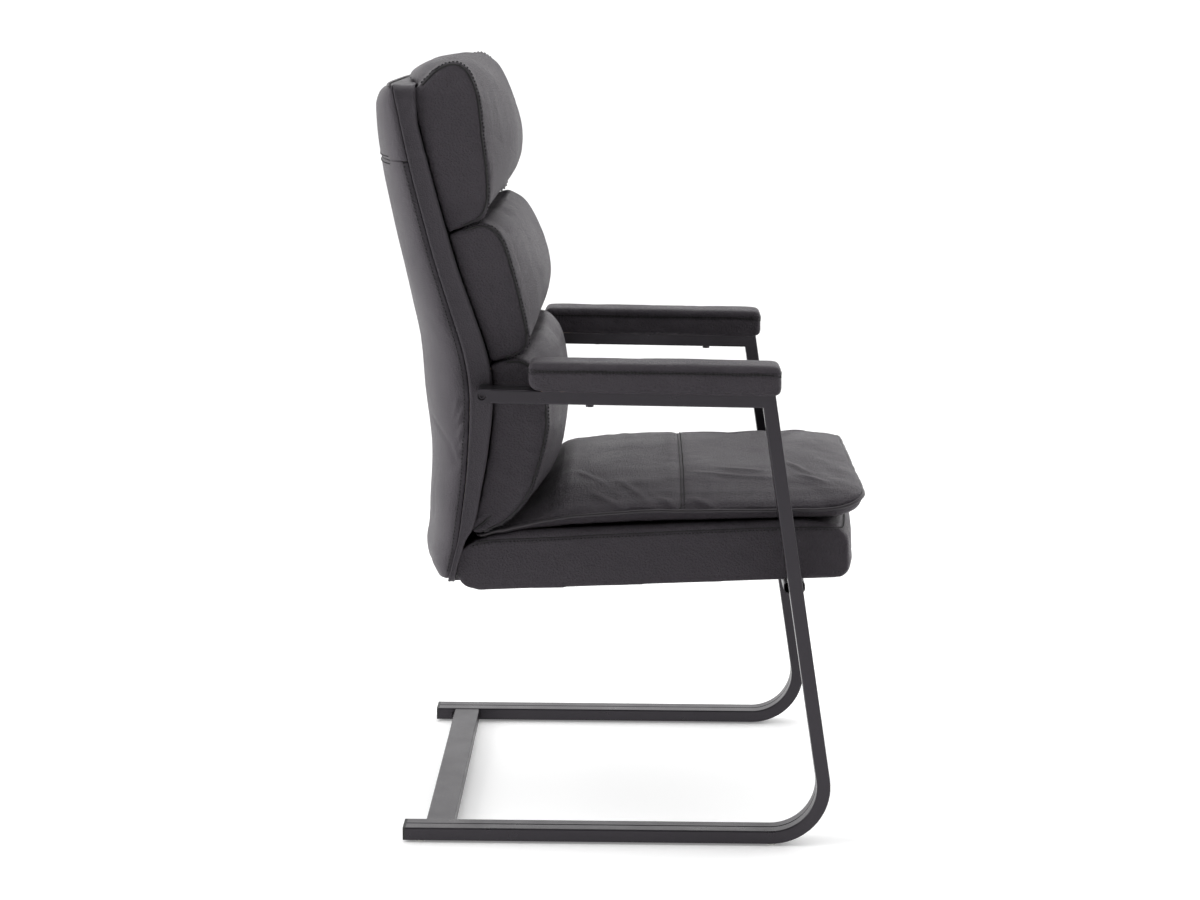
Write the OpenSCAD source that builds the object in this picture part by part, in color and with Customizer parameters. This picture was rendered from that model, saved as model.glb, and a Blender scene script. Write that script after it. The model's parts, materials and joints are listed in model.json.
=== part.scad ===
// Cantilever visitor armchair: two bent twin-tube side frames, a padded seat and a high back
// with three rolls. X runs across the chair, the sitter faces -Y and Z is up. Millimetres.

/* [Overall] */
// Width of the upholstered seat and back
seat_w = 500; // [460:2:540]
// Gap between the upholstery and each side frame
frame_gap = 7; // [5:0.5:12]

/* [Side frames] */
// Side of one square tube
tube = 19; // [18:0.5:20]
// Wall of the square tubes
tube_wall = 1.5; // [1:0.25:2]
// Outside corner radius of the square tubes
tube_corner = 2; // [1.5:0.25:3]
// Length of the runners on the floor, with the front bend
runner_len = 599; // [590:1:610]
// Centreline radius of the front bend
bend_r = 73; // [60:1:90]
// Backward lean of the front legs in degrees
leg_lean = 9; // [8:0.25:10]
// Height of the armrest rail's middle above the floor at its front corner
rail_z = 633.5; // [628:0.5:640]
// Rise of the armrest rails towards the back in degrees
rail_tilt = 0.6; // [0:0.1:2]
// Distance from the rail's front corner to the bolt at its rear end
rail_len = 389; // [384:1:394]
// Depth of the visible part of the runner end caps
cap_t = 4; // [2:0.5:6]
// Length of the cap plugs inside the tubes
cap_plug = 14; // [8:1:14]

/* [Floor glides] */
// Height of the glides under the runners
glide_h = 3; // [2:0.5:6]
// Diameter of the glides
glide_d = 13; // [10:0.5:18]
// Diameter of the glide stems
glide_stem_d = 6; // [4:0.5:7]
// Distance of the rear glides from the runner's end
glide_rear = 24; // [24:1:26]
// Distance of the front glides from the runner's front
glide_front = 80; // [80:1:120]

/* [Cross tubes] */
// Depth of the rear cross bar, front to back
bar_w = 40; // [30:1:50]
// Height of both cross tubes
bar_h = 18; // [15:0.5:19]
// Distance of the rear cross bar's middle from the runner's end
bar_inset = 50; // [46:1:90]
// Depth of the tube that carries the seat
seat_tube_w = 30; // [24:1:36]
// Corner radius of the seat tube
seat_tube_corner = 7; // [4:0.5:7]
// Length of the gusset plates along the rear cross bar
gusset_len = 27; // [15:1:40]
// Width of the gusset plates along the runner
gusset_w = 5; // [3:0.5:10]
// Thickness of the gusset plates
gusset_t = 5; // [3:0.5:8]

/* [Armrests] */
// Length of the arm pads
pad_len = 342; // [330:1:350]
// Width of the arm pads
pad_w = 60; // [56:1:64]
// Height of the arm pads above the rail
pad_h = 40; // [34:1:50]
// How far the pads reach past the front corner
pad_front = 15; // [8:1:20]
// Thickness of the boards inside the pads
pad_board_t = 9; // [6:0.5:12]

/* [Seat] */
// Forward rise of the seat in degrees
seat_tilt = 2.6; // [2:0.1:3]
// Height of the seat base's underside above the floor, in line with the seat tube
base_z = 374.5; // [370:0.5:378]
// Thickness of the seat base
base_h = 74; // [70:0.5:75]
// How far the seat base's corners reach forward of the seat tube
base_front = 82; // [74:1:90]
// How far the seat base reaches back from the seat tube
base_back = 467.5; // [460:0.5:468]
// Forward bow of the seat base's front
base_bow = 15; // [0:1:20]
// Thickness of the plywood in the seat
board_t = 15; // [12:1:18]
// Height of the seat cushion's crown above its piped edge
crown_h = 46; // [36:1:50]

/* [Back] */
// Thickness of the plywood in the back
back_board_t = 12; // [9:1:14]
// Exponent of the rear cover's plan curve, larger is squarer
rear_round = 2.4; // [2.2:0.1:2.8]
// Height of the yoke above the seam across the rear cover
yoke_h = 101; // [81:5:121]
// Corner radius of the back in its front view
band_corner = 12; // [10:1:16]

/* [Upholstery] */
// Thickness of the leatherette covers
cover_t = 2; // [1.5:0.25:2.5]
// Diameter of the piping round the seat cushion
piping_d = 5.5; // [4:0.5:6]
// Gap between soft parts and their neighbours
soft_gap = 0.3; // [0.2:0.05:0.5]

/* [Hardware] */
// Diameter of the bolts and screws
bolt_d = 6; // [5:0.5:7]
// Diameter of the recess for the bolt's head in each rail end
recess_d = 11; // [10.8:0.1:13]
// Depth of that recess
recess_depth = 10; // [7:0.5:14]
// Clearance around bolts and around plugs in tubes
fit_gap = 0.3; // [0.2:0.05:0.5]
// Thickness of the brackets between seat and back
bracket_t = 4; // [3:0.5:5]
// Width of the brackets between seat and back
bracket_w = 40; // [30:1:60]
// Distance of each bracket's middle from the chair's middle
bracket_x = 150; // [120:5:180]

/* [Hidden] */

steel_black = [0.16, 0.16, 0.165];
zinc = [0.62, 0.63, 0.65];
plywood = [0.76, 0.62, 0.42];
foam = [0.86, 0.82, 0.66];
plastic_black = [0.1, 0.1, 0.1];
leather = [0.22, 0.21, 0.22];
leather_smooth = [0.15, 0.15, 0.16];
lining_black = [0.09, 0.09, 0.09];
glide_white = [0.82, 0.82, 0.8];
$fn = 48;

// Side frame, worked out from the runner, the bend and the leg's lean
twin_w = 2 * tube;
back_w = seat_w;
outer_x = seat_w / 2 + frame_gap + twin_w;
inner_x = outer_x - twin_w;
outer_tube_x = outer_x - tube / 2;
inner_tube_x = inner_x + tube / 2;
runner_y = runner_len / 2;
bend_y = bend_r + tube / 2 - runner_y;
bend_z = glide_h + tube / 2 + bend_r;
// Where the upholstery's lines, drawn for a bend 217 mm in front of the middle, are set
depth_set = bend_y + 217;
leg_foot = [bend_y - bend_r * cos(leg_lean), bend_z + bend_r * sin(leg_lean)];
leg_len = (rail_z - leg_foot[1]) / cos(leg_lean);
corner = [leg_foot[0] + leg_len * sin(leg_lean), rail_z];
mitre_turn = (90 + leg_lean - rail_tilt) / 2;
rail_end = [corner[0] + rail_len * cos(rail_tilt), corner[1] + rail_len * sin(rail_tilt)];
// The bend's wall is a hair thinner and laps into the straight stretches, so that all three join
bend_thin = 0.02;
bend_lap = 1;
end_neck = 12;
end_plug = 24;
plug_side = tube - 2 * tube_wall - 2 * fit_gap;
glide_ys = [runner_y - glide_rear, glide_front - runner_y];
glide_stem_top = glide_h + 5;
bar_y = runner_y - bar_inset;
bar_z = glide_h + bar_h / 2;

// Bolt heads, tee nuts and where they go
screw_hole_r = bolt_d / 2 + fit_gap;
head_r = 5;
head_h = 6;
hex_r = 2.9;
button_r = 5.5;
button_h = 3.5;
tee_r = bolt_d / 2 + 2.5;
tee_flange_r = 10;
tee_flange_t = 1.5;
touch = 0.2;
seat_bolt_x = 160;

// Seat frame: u runs back from the seat tube's middle and v up from the base's underside
seat_tube_y = leg_foot[0] + (base_z - leg_foot[1]) * tan(leg_lean);
base_r_rear = 29;
base_r_back = 40;
base_r_top = 26;
base_r_low = 20;
base_corner = 4;
dust_t = 1.8;
board_v = dust_t + 2 * soft_gap;
// Distance that foams keep from the curved skins round them
fill_gap = 2;
board_rear = base_back - base_r_rear - 2;
bracket_us = [board_rear - 79, board_rear - 29];
bow_steps = [-1, -0.97, -0.85, -0.6, -0.3, 0, 0.3, 0.6, 0.85, 0.97, 1];

// Back, at heights above the floor: the seam between band and rear cover, the band's width
// and how far the rear cover bulges behind the seam
seam_line = [[366, 235], [400, 226], [445, 219], [500, 211.5], [545, 207.5], [610, 204.5], [650, 206],
    [690, 213], [750, 231], [810, 249.5], [870, 265.5], [945, 284], [1020, 299.5], [1052, 306]];
band_line = [[366, 3], [400, 2.7], [424, 8], [445, 19], [500, 23], [545, 27], [632, 32.5], [720, 32],
    [800, 29], [870, 27.5], [950, 26], [1052, 21]];
bulge_line = [[366, 15], [376, 26], [386, 36], [405, 47], [445, 57], [540, 66], [632, 79], [729, 71],
    [800, 64], [860, 61], [960, 57], [1020, 49], [1036, 40], [1046, 27], [1051, 8]];
back_low = 366.5;
back_top = 1050;
rear_low = 372;
rear_top = back_top + 1;
yoke_z = rear_top - yoke_h;
band_t = 2.5;
lining_t = 1;
lining_set = 0.5;
board_low = 402;
board_top = back_top - 30;
board_set = 8;
board_inset = 25;
foam_low = 452;
foam_top = back_top - 20;
block_len = 44;
block_h = 60;
block_front = depth_set + 176;
insert_r = 6;
insert_len = 28;
rail_bolt_len = 60;
spacer_r = 10;
bracket_bolt_zs = [414, 438];
bracket_top = 446;
bracket_bend_r = 8;

// Rolls of the back, as [y, z] of the front outline from the lower rear edge to the upper one:
// at the chair's sides and at its middle
middle_side = [[154, 681.2], [136, 685.6], [126.5, 693], [123, 706], [125.5, 722], [132, 752],
    [140, 786], [149, 817], [157, 842], [166, 858], [178, 865.3], [191, 866.3], [210, 859.2]];
middle_mid = [[148, 692.3], [119, 711.3], [110.5, 727], [106.5, 747], [105, 766], [107, 786],
    [113, 811], [122, 835], [134, 857], [148, 877], [159.5, 887.5], [171, 890.5], [202, 868.9]];
lower_side = [[183, 446.5], [160, 454], [141, 466], [127, 484], [115, 513], [106, 545], [99, 580],
    [97.5, 606], [101.5, 632], [110, 657], [122, 674.5], [136, 681.6], [154, 678.6]];
lower_mid = [[170, 448], [138, 458], [112, 474], [95, 498], [85, 525], [80, 558], [78, 590],
    [79, 622], [83, 655], [89, 682], [99, 701], [115, 708.6], [148, 689.3]];
head_side = [[210, 861.2], [191.5, 868.8], [181.5, 880], [177.5, 900], [179, 937], [184.5, 975],
    [188, 1023], [193, 1050], [204, 1074], [218, 1083.5], [238, 1080], [252, 1069.5], [260, 1061],
    [265, 1055.5], [267.5, 1052.5]];
head_mid = [[202, 871.1], [171.5, 893.6], [157, 912], [148.5, 942], [147, 974], [153, 1003],
    [165, 1036], [180, 1067], [193, 1085], [212, 1091], [240, 1086], [275, 1078], [296, 1066],
    [301, 1055], [281, 1051.8]];
head_low = 853.2;
head_high = [1040, 1046];
middle_low = 675.2;
middle_high = [851.2, 851.2];
lower_low = 444.5;
lower_high = [672.8, 672.8];
roll_gap = 0.6;
roll_inset = 2;
roll_steps = [-1, -0.96, -0.86, -0.7, -0.5, -0.25, 0, 0.25, 0.5, 0.7, 0.86, 0.96, 1];

// Seat cushion, from its front to its rear: height of the piped edge, and share of the crown
edge_line = [[-343, 489], [-325, 480], [-290, 474], [-162, 470], [-42, 468], [44, 462],
    [113, 452], [169, 439], [198, 435]];
crown_line = [[-343, 0.9], [-300, 0.93], [-258, 1], [-160, 1.04], [-40, 1], [57, 0.9], [80, 0.78],
    [95, 0.52], [112, 0.3], [135, 0.18], [160, 0.16], [198, 0.1]];
cushion_y = [depth_set - 343, depth_set + 198];
cushion_inset = 4;
front_r = 40;
rear_r = 24;
draw_in = 5;
edge_fade = 34;
cross_seam_y = depth_set - 88;
cross_seam_dip = 4;
cross_seam_w = 6;
cushion_steps = [-1, -0.97, -0.88, -0.74, -0.5, -0.25, 0, 0.25, 0.5, 0.74, 0.88, 0.97, 1];

// Value at t of a smooth curve through [t, value] stations, level beyond its ends
function slope(s, i) = let (a = max(0, i - 1), b = min(len(s) - 1, i + 1))
    (s[b][1] - s[a][1]) / (s[b][0] - s[a][0]);
function span_at(s, t, i = 0) = i >= len(s) - 2 || t < s[i + 1][0] ? i : span_at(s, t, i + 1);
function hermite(p, q, mp, mq, k) = p + k * k * (3 - 2 * k) * (q - p)
    + k * (1 - k) * ((1 - k) * mp - k * mq);
function curve(s, t) = let (i = span_at(s, t), h = s[i + 1][0] - s[i][0])
    hermite(s[i][1], s[i + 1][1], slope(s, i) * h, slope(s, i + 1) * h,
        min(1, max(0, (t - s[i][0]) / h)));
// Points along a smooth open path through the points p, k steps to a span
function path_point(a, b, c, d, t) = hermite(b, c, (c - a) / 2, (d - b) / 2, t);
function smooth_path(p, k) = let (n = len(p)) [for (i = [0:n - 2], j = [0:k - 1])
    path_point(p[max(0, i - 1)], p[i], p[i + 1], p[min(n - 1, i + 2)], j / k), p[n - 1]];
function arc(c, r, from, to, n) = [for (i = [0:n]) let (a = from + (to - from) * i / n)
    [c[0] + r * cos(a), c[1] + r * sin(a)]];
function lerp(p, q, k) = p + (q - p) * k;
function steps(low, high, n) = [for (i = [0:n]) low + (high - low) * i / n];
function middle(ring, c) = (min([for (p = ring) p[c]]) + max([for (p = ring) p[c]])) / 2;

// Height in the drawn lines, whose back is 1050 mm high, for a height above the armrest rail
function drawn_z(z) = z < rail_z ? z : rail_z + (z - rail_z) * (1050 - rail_z) / (back_top - rail_z);
function seam_y(z) = depth_set + curve(seam_line, drawn_z(z));
function band_y(z) = seam_y(z) - curve(band_line, drawn_z(z));
function bulge(z) = curve(bulge_line, drawn_z(z));
// Slice of the back in the side plane between two heights, from its front to its rear function
function back_slice(low, high, front, rear) = let (zs = steps(low, high, 26))
    concat([for (z = zs) [front(z), z]], [for (i = [26:-1:0]) [rear(zs[i]), zs[i]]]);

// Seat frame point [u, v] as [y, z]
function seat_pt(u, v) = [seat_tube_y + u * cos(seat_tilt) + v * sin(seat_tilt),
    base_z - u * sin(seat_tilt) + v * cos(seat_tilt)];
function in_seat(x, p) = let (q = seat_pt(p[0], p[1])) [x, q[0], q[1]];

// Solid through closed rings of equal length, with flat ends
module loft_solid(rings) {
    n = len(rings);
    m = len(rings[0]);
    ends = [for (r = [rings[0], rings[n - 1]]) [for (c = [0:2]) middle(r, c)]];
    sides = [for (i = [0:n - 2], j = [0:m - 1]) let (a = i * m + j, b = i * m + (j + 1) % m)
        each [[a, b, b + m], [a, b + m, a + m]]];
    caps = [for (j = [0:m - 1]) let (k = (j + 1) % m, last = (n - 1) * m)
        each [[n * m, k, j], [n * m + 1, last + j, last + k]]];
    polyhedron(points = concat([for (r = rings) each r], ends), faces = concat(sides, caps));
}

// Shell between outer and inner open rings; each end closes on a pair of points or stays open
module loft_shell(outer, inner, start, end) {
    n = len(outer);
    m = len(outer[0]);
    q = n * m;
    s = 2 * q;
    e = s + len(start);
    last = q - m;
    sides = [for (i = [0:n - 2], j = [0:m - 2]) let (a = i * m + j, b = a + 1, c = b + m, d = a + m)
        each [[a, b, c], [a, c, d], [a + q, c + q, b + q], [a + q, d + q, c + q]]];
    rims = [for (i = [0:n - 2]) let (a = i * m, d = a + m, b = a + m - 1, c = b + m)
        each [[a, d, d + q], [a, d + q, a + q], [c, b, b + q], [c, b + q, c + q]]];
    start_faces = len(start) == 0
        ? [for (a = [0:m - 2]) each [[a + 1, a, a + q], [a + 1, a + q, a + 1 + q]]]
        : concat([for (a = [0:m - 2]) each [[s, a + 1, a], [s + 1, a + q, a + 1 + q]]],
            [[s, 0, q], [s, q, s + 1], [s, s + 1, m - 1 + q], [s, m - 1 + q, m - 1]]);
    end_faces = len(end) == 0
        ? [for (d = [last:q - 2]) each [[d, d + 1, d + 1 + q], [d, d + 1 + q, d + q]]]
        : concat([for (d = [last:q - 2]) each [[e, d, d + 1], [e + 1, d + 1 + q, d + q]]],
            [[e, e + 1, last + q], [e, last + q, last], [e, q - 1, q - 1 + q], [e, q - 1 + q, e + 1]]);
    polyhedron(points = concat([for (r = outer) each r], [for (r = inner) each r], start, end),
        faces = concat(sides, rims, start_faces, end_faces));
}

// The right-hand part and its mirror image
module both_sides() {
    children();
    mirror([1, 0, 0]) children();
}
module at_side(x, p) translate([x, p[0], p[1]]) children();
// Turns a part that points along +Z to the angle a in the side plane, 0 towards the back
module along(a) rotate([a - 90, 0, 0]) children();
module x_rod(r, len) rotate([0, 90, 0]) cylinder(r = r, h = len);
// Stands a drawing of [y, z] upright in the side plane, w wide along X
module side_slab(w) rotate([90, 0, 90]) linear_extrude(w, center = true) children();

module round_rect(w, h, r) {
    square([w - 2 * r, h], center = true);
    square([w, h - 2 * r], center = true);
    for (x = [r - w / 2, w / 2 - r], y = [r - h / 2, h / 2 - r]) translate([x, y]) circle(r);
}
// Tube's section, its wall thinner by thin on each face
module tube_section(w, h, r, thin = 0) difference() {
    hole = 2 * (tube_wall - thin);
    round_rect(w - 2 * thin, h - 2 * thin, r);
    round_rect(w - hole, h - hole, max(r - tube_wall, 0.4));
}
module square_tube(len) linear_extrude(len) tube_section(tube, tube, tube_corner);

// Space beyond the mitre between leg and rail, on the rail's side or on the leg's side
module mitre_space(rail_side) at_side(0, corner) rotate([-mitre_turn, 0, 0])
    translate([-2 * outer_x, -4 * tube, rail_side ? 0 : -8 * tube])
    cube([4 * outer_x, 8 * tube, 8 * tube]);

module glide_holes() for (x = [-outer_tube_x, outer_tube_x], y = glide_ys)
    translate([x, y, glide_h - 1])
    cylinder(d = glide_stem_d + 2 * fit_gap, h = glide_stem_top - glide_h + 2);

module leg_tube(x) color(steel_black) difference() {
    at_side(x, [bend_y, bend_z]) {
        rotate([90, 0, 90]) rotate([0, 0, 180 - leg_lean]) {
            rotate_extrude(angle = 90 + leg_lean) translate([bend_r, 0])
                tube_section(tube, tube, tube_corner, bend_thin);
            translate([bend_r, bend_lap, 0]) rotate([90, 0, 0]) square_tube(leg_len + tube);
        }
        translate([0, -bend_lap, -bend_r]) along(0)
            square_tube(runner_y - cap_t - bend_y + bend_lap);
    }
    mitre_space(true);
    glide_holes();
}
module right_outer_leg_tube() leg_tube(-outer_tube_x);
module right_inner_leg_tube() leg_tube(-inner_tube_x);
module left_inner_leg_tube() leg_tube(inner_tube_x);
module left_outer_leg_tube() leg_tube(outer_tube_x);

// Rail frame: Y runs back along the rail from its front corner and Z up from its middle
module rail_frame() at_side(0, corner) rotate([rail_tilt, 0, 0]) children();
pad_screws = [[inner_tube_x, 70], [outer_tube_x, 243]];
pad_screw_len = tube + touch + pad_board_t - 1;
module at_pad_screws() rail_frame() both_sides() for (p = pad_screws)
    translate([p[0], p[1], -tube / 2]) children();

module rail_tube(x) color(steel_black) difference() {
    at_side(x, corner) along(rail_tilt) translate([0, 0, -tube]) square_tube(rail_len - end_neck + tube);
    mitre_space(false);
    at_pad_screws() translate([0, 0, -1]) cylinder(r = screw_hole_r, h = tube + 2);
}
module right_outer_rail_tube() rail_tube(-outer_tube_x);
module right_inner_rail_tube() rail_tube(-inner_tube_x);
module left_inner_rail_tube() rail_tube(inner_tube_x);
module left_outer_rail_tube() rail_tube(outer_tube_x);

module right_rail_end() color(steel_black) at_side(-outer_x, rail_end) rotate([rail_tilt, 0, 0])
    difference() {
        union() {
            x_rod(tube / 2, twin_w);
            translate([0, -end_neck, -tube / 2]) cube([twin_w, end_neck, tube]);
            for (x = [tube / 2, 1.5 * tube]) translate([x, -end_neck - end_plug / 2, 0])
                cube([plug_side, end_plug, plug_side], center = true);
        }
        translate([-1, 0, 0]) x_rod(screw_hole_r, twin_w + 2);
        translate([-1, 0, 0]) x_rod(recess_d / 2, recess_depth + 1);
    }
module left_rail_end() mirror([1, 0, 0]) right_rail_end();

module runner_end_caps() color(plastic_black) both_sides()
    translate([-outer_x + tube, runner_y - cap_t, glide_h + tube / 2]) rotate([-90, 0, 0]) {
        linear_extrude(cap_t) round_rect(twin_w, tube, tube_corner);
        for (x = [-tube / 2, tube / 2]) translate([x, 0, -cap_plug]) linear_extrude(cap_plug)
            round_rect(plug_side, plug_side, tube_corner);
    }
module floor_glides() color(glide_white) for (x = [-outer_tube_x, outer_tube_x], y = glide_ys)
    translate([x, y, 0]) {
        cylinder(d1 = glide_d - 2, d2 = glide_d, h = 1);
        translate([0, 0, 1]) cylinder(d = glide_d, h = glide_h - 1);
        cylinder(d = glide_stem_d, h = glide_stem_top);
    }

module rear_cross_bar() color(steel_black) translate([-inner_x, bar_y, bar_z]) rotate([90, 0, 90])
    linear_extrude(2 * inner_x) tube_section(bar_w, bar_h, tube_corner);
module cross_bar_gussets() color(steel_black) both_sides()
    translate([-inner_x, bar_y + bar_w / 2, bar_z - gusset_t / 2]) linear_extrude(gusset_t)
        polygon([[0, 0], [gusset_len, 0], [0, gusset_w]]);

// Seat frame: Y runs back along the base from the seat tube and Z up from the base's underside
module seat_frame() at_side(0, seat_pt(0, 0)) rotate([-seat_tilt, 0, 0]) children();
module at_seat_bolts() seat_frame() both_sides() translate([seat_bolt_x, 0, 0]) children();
module at_bracket_bolts() seat_frame() both_sides() for (u = bracket_us)
    translate([bracket_x, u, 0]) children();
module button_bolt(len) {
    translate([0, 0, -button_h]) cylinder(r = button_r, h = button_h);
    cylinder(d = bolt_d, h = len);
}
module tee_nut(len) difference() {
    union() {
        cylinder(r = tee_r, h = len);
        translate([0, 0, len]) cylinder(r = tee_flange_r, h = tee_flange_t);
    }
    translate([0, 0, -1]) cylinder(r = screw_hole_r, h = len + tee_flange_t + 2);
}

module seat_cross_tube() color(steel_black) difference() {
    seat_frame() translate([-inner_x, 0, -touch - bar_h / 2]) rotate([90, 0, 90])
        linear_extrude(2 * inner_x) tube_section(seat_tube_w, bar_h, seat_tube_corner);
    at_seat_bolts() translate([0, 0, -2 * bar_h]) cylinder(r = screw_hole_r, h = 2 * bar_h + 1);
}
module seat_tube_bolts() color(zinc) at_seat_bolts() translate([0, 0, -touch - bar_h])
    button_bolt(bar_h + board_v + board_t);
module seat_tube_tee_nuts() color(zinc) at_seat_bolts() translate([0, 0, board_v + touch])
    tee_nut(board_t);

// Forward bow of the base's front at k, from -1 to 1 across the seat
function bow_at(k) = base_bow * (1 - k * k) - base_corner * pow(abs(k), 24);
// Plan of a sheet inside the base, held back from the cover by an inset
function base_plan(half, inset) = concat([for (k = bow_steps)
    [k * half, base_r_low + inset - base_front - bow_at(k)]],
    [[half, board_rear - inset], [-half, board_rear - inset]]);
board_half = seat_w / 2 - cover_t - soft_gap;
module seat_board() color(plywood) difference() {
    seat_frame() translate([0, 0, board_v]) linear_extrude(board_t) polygon(base_plan(board_half, 0));
    at_seat_bolts() cylinder(r = tee_r + fit_gap, h = 2 * board_t);
    at_bracket_bolts() cylinder(r = tee_r + fit_gap, h = 2 * board_t);
}
module seat_dust_cover() color(lining_black) difference() {
    seat_frame() translate([0, 0, soft_gap]) linear_extrude(dust_t) polygon(base_plan(board_half, 1));
    at_seat_bolts() translate([0, 0, -1]) cylinder(r = screw_hole_r + 1, h = board_t);
    at_bracket_bolts() translate([0, 0, -1]) cylinder(r = screw_hole_r + 1, h = board_t);
}

// Outline of the base in [u, v] from its front lip over the top to its rear lip, t inside its skin
function base_ring(bow, t) = let (f = -base_front - bow) concat(
    arc([f + base_r_low, base_r_low], base_r_low - t, 270, 180, 4),
    arc([f + base_r_top, base_h - base_r_top], base_r_top - t, 172, 90, 4),
    arc([base_back - base_r_back, base_h - base_r_back], base_r_back - t, 90, 8, 4),
    arc([base_back - base_r_rear, base_r_rear], base_r_rear - t, 0, -90, 4));
module seat_base_cover() color(leather) {
    half = seat_w / 2;
    mid = (base_back - base_front) / 2;
    loft_shell([for (k = bow_steps) [for (p = base_ring(bow_at(k), 0)) in_seat(k * half, p)]],
        [for (k = bow_steps) [for (p = base_ring(bow_at(k), cover_t)) in_seat(k * (half - cover_t), p)]],
        [in_seat(-half, [mid, 0]), in_seat(cover_t - half, [mid, touch])],
        [in_seat(half, [mid, 0]), in_seat(half - cover_t, [mid, touch])]);
}
module seat_base_foam() color(foam) difference() {
    low = board_v + board_t + touch;
    skin = cover_t + soft_gap;
    front = base_corner + fill_gap - base_front;
    seat_frame() side_slab(2 * board_half) polygon(concat([[front + skin, low]],
        arc([front + base_r_top, base_h - base_r_top], base_r_top - skin, 180, 90, 5),
        arc([base_back - base_r_back, base_h - base_r_back], base_r_back - skin - 1, 90, 0, 5),
        [[base_back - base_r_rear / 2, low]]));
    at_seat_bolts() cylinder(r = tee_flange_r + 1, h = low + 5);
    at_bracket_bolts() cylinder(r = tee_flange_r + 1, h = low + 5);
}

// Seat cushion in plan, o outside its own edge
function corner_loss(d, r) = d >= r ? 0 : r - sqrt(max(0, r * r - (r - d) * (r - d)));
function side_pull(y) = let (s = (2 * y - cushion_y[0] - cushion_y[1]) / (cushion_y[1] - cushion_y[0]))
    draw_in * max(0, 1 - s * s);
function plan_x(y, o) = seat_w / 2 - cushion_inset + o - side_pull(y)
    - max(corner_loss(y - cushion_y[0] + o, front_r + o), corner_loss(cushion_y[1] + o - y, rear_r + o));
function front_corner(o) = [for (a = steps(0, 90, 4)) cushion_y[0] - o + (front_r + o) * (1 - cos(a))];
function rear_corner(o) = [for (a = steps(90, 0, 3)) cushion_y[1] + o - (rear_r + o) * (1 - cos(a))];
function edge_z(y) = curve(edge_line, y - depth_set);
function end_fade(y) = sqrt(max(0, min(1, (y - cushion_y[0]) / edge_fade, (cushion_y[1] - y) / edge_fade)));
function side_fade(k) = sqrt(max(0, 1 - pow(abs(k), 3.4)));
function crease(y) = cross_seam_dip * exp(-pow((y - cross_seam_y) / cross_seam_w, 2));
function rest_z(y) = base_z - (y - seat_tube_y) * tan(seat_tilt) + base_h / cos(seat_tilt) + soft_gap;
function top_z(y, k) = edge_z(y)
    + (crown_h * curve(crown_line, y - depth_set) - crease(y)) * end_fade(y) * side_fade(k);
function under_z(y, k) = edge_z(y)
    - (edge_z(y) - rest_z(y)) * pow(end_fade(y), 0.7) * pow(side_fade(k), 0.6);
module seat_cushion() color(leather) {
    ys = concat(front_corner(0), [for (y = [-280, -250, -210, -165, -125]) depth_set + y],
        [cross_seam_y - 9, cross_seam_y, cross_seam_y + 9],
        [for (y = [-45, 0, 40, 68, 84, 98, 115, 135, 155]) depth_set + y], rear_corner(0));
    n = len(ys);
    m = len(cushion_steps);
    top = [for (y = ys, k = cushion_steps) [k * plan_x(y, 0), y, top_z(y, k)]];
    under = [for (i = [1:n - 2], j = [1:m - 2]) let (y = ys[i], k = cushion_steps[j])
        [k * plan_x(y, 0), y, under_z(y, k)]];
    top_id = function(i, j) i * m + j;
    low_id = function(i, j) i % (n - 1) == 0 || j % (m - 1) == 0 ? i * m + j
        : n * m + (i - 1) * (m - 2) + j - 1;
    // The two triangles of a square of the grid, split so that no corner folds onto itself
    square_faces = function(a, b, c, d, from_a) from_a ? [[a, b, c], [a, c, d]] : [[a, b, d], [b, c, d]];
    polyhedron(points = concat(top, under), faces = [for (i = [0:n - 2], j = [0:m - 2])
        let (p = i + 1, q = j + 1, from_a = (2 * i < n - 1) == (2 * j < m - 1))
        each concat(square_faces(top_id(i, j), top_id(p, j), top_id(p, q), top_id(i, q), from_a),
            square_faces(low_id(p, j), low_id(i, j), low_id(i, q), low_id(p, q), !from_a))]);
}
// Piping: an eight-sided tube along the cushion's edge, just outside it
module seat_cushion_piping() color(leather) {
    r = piping_d / 2;
    o = r + soft_gap + touch;
    side = [for (y = concat(front_corner(o), [-260, -200, -130, -50, 30, 100, 145], rear_corner(o)))
        [plan_x(y, o), y]];
    last = len(side) - 1;
    loop = concat(side, [for (k = [0.6, 0.2, -0.2, -0.6]) [k * side[last][0], side[last][1]]],
        [for (i = [last:-1:0]) [-side[i][0], side[i][1]]],
        [for (k = [-0.6, -0.2, 0.2, 0.6]) [k * side[0][0], side[0][1]]]);
    n = len(loop);
    rings = [for (i = [0:n - 1]) let (d = loop[(i + 1) % n] - loop[(i + n - 1) % n], w = d / norm(d))
        [for (a = [0:45:315]) [loop[i][0] + w[1] * cos(a) * r, loop[i][1] - w[0] * cos(a) * r,
            edge_z(loop[i][1]) + sin(a) * r]]];
    polyhedron(points = [for (g = rings) each g], faces = [for (i = [0:n - 1], j = [0:7])
        let (a = i * 8, b = (i + 1) % n * 8, k = (j + 1) % 8)
        each [[a + j, a + k, b + k], [a + j, b + k, b + j]]]);
}

// Places on the back board at height z, pointing back and square to the board
module at_bracket_back_bolts() for (z = bracket_bolt_zs, s = [-1, 1])
    at_side(s * bracket_x, [seam_y(z) + board_set, z])
    along(-atan((seam_y(z + 5) - seam_y(z - 5)) / 10)) children();

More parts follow.
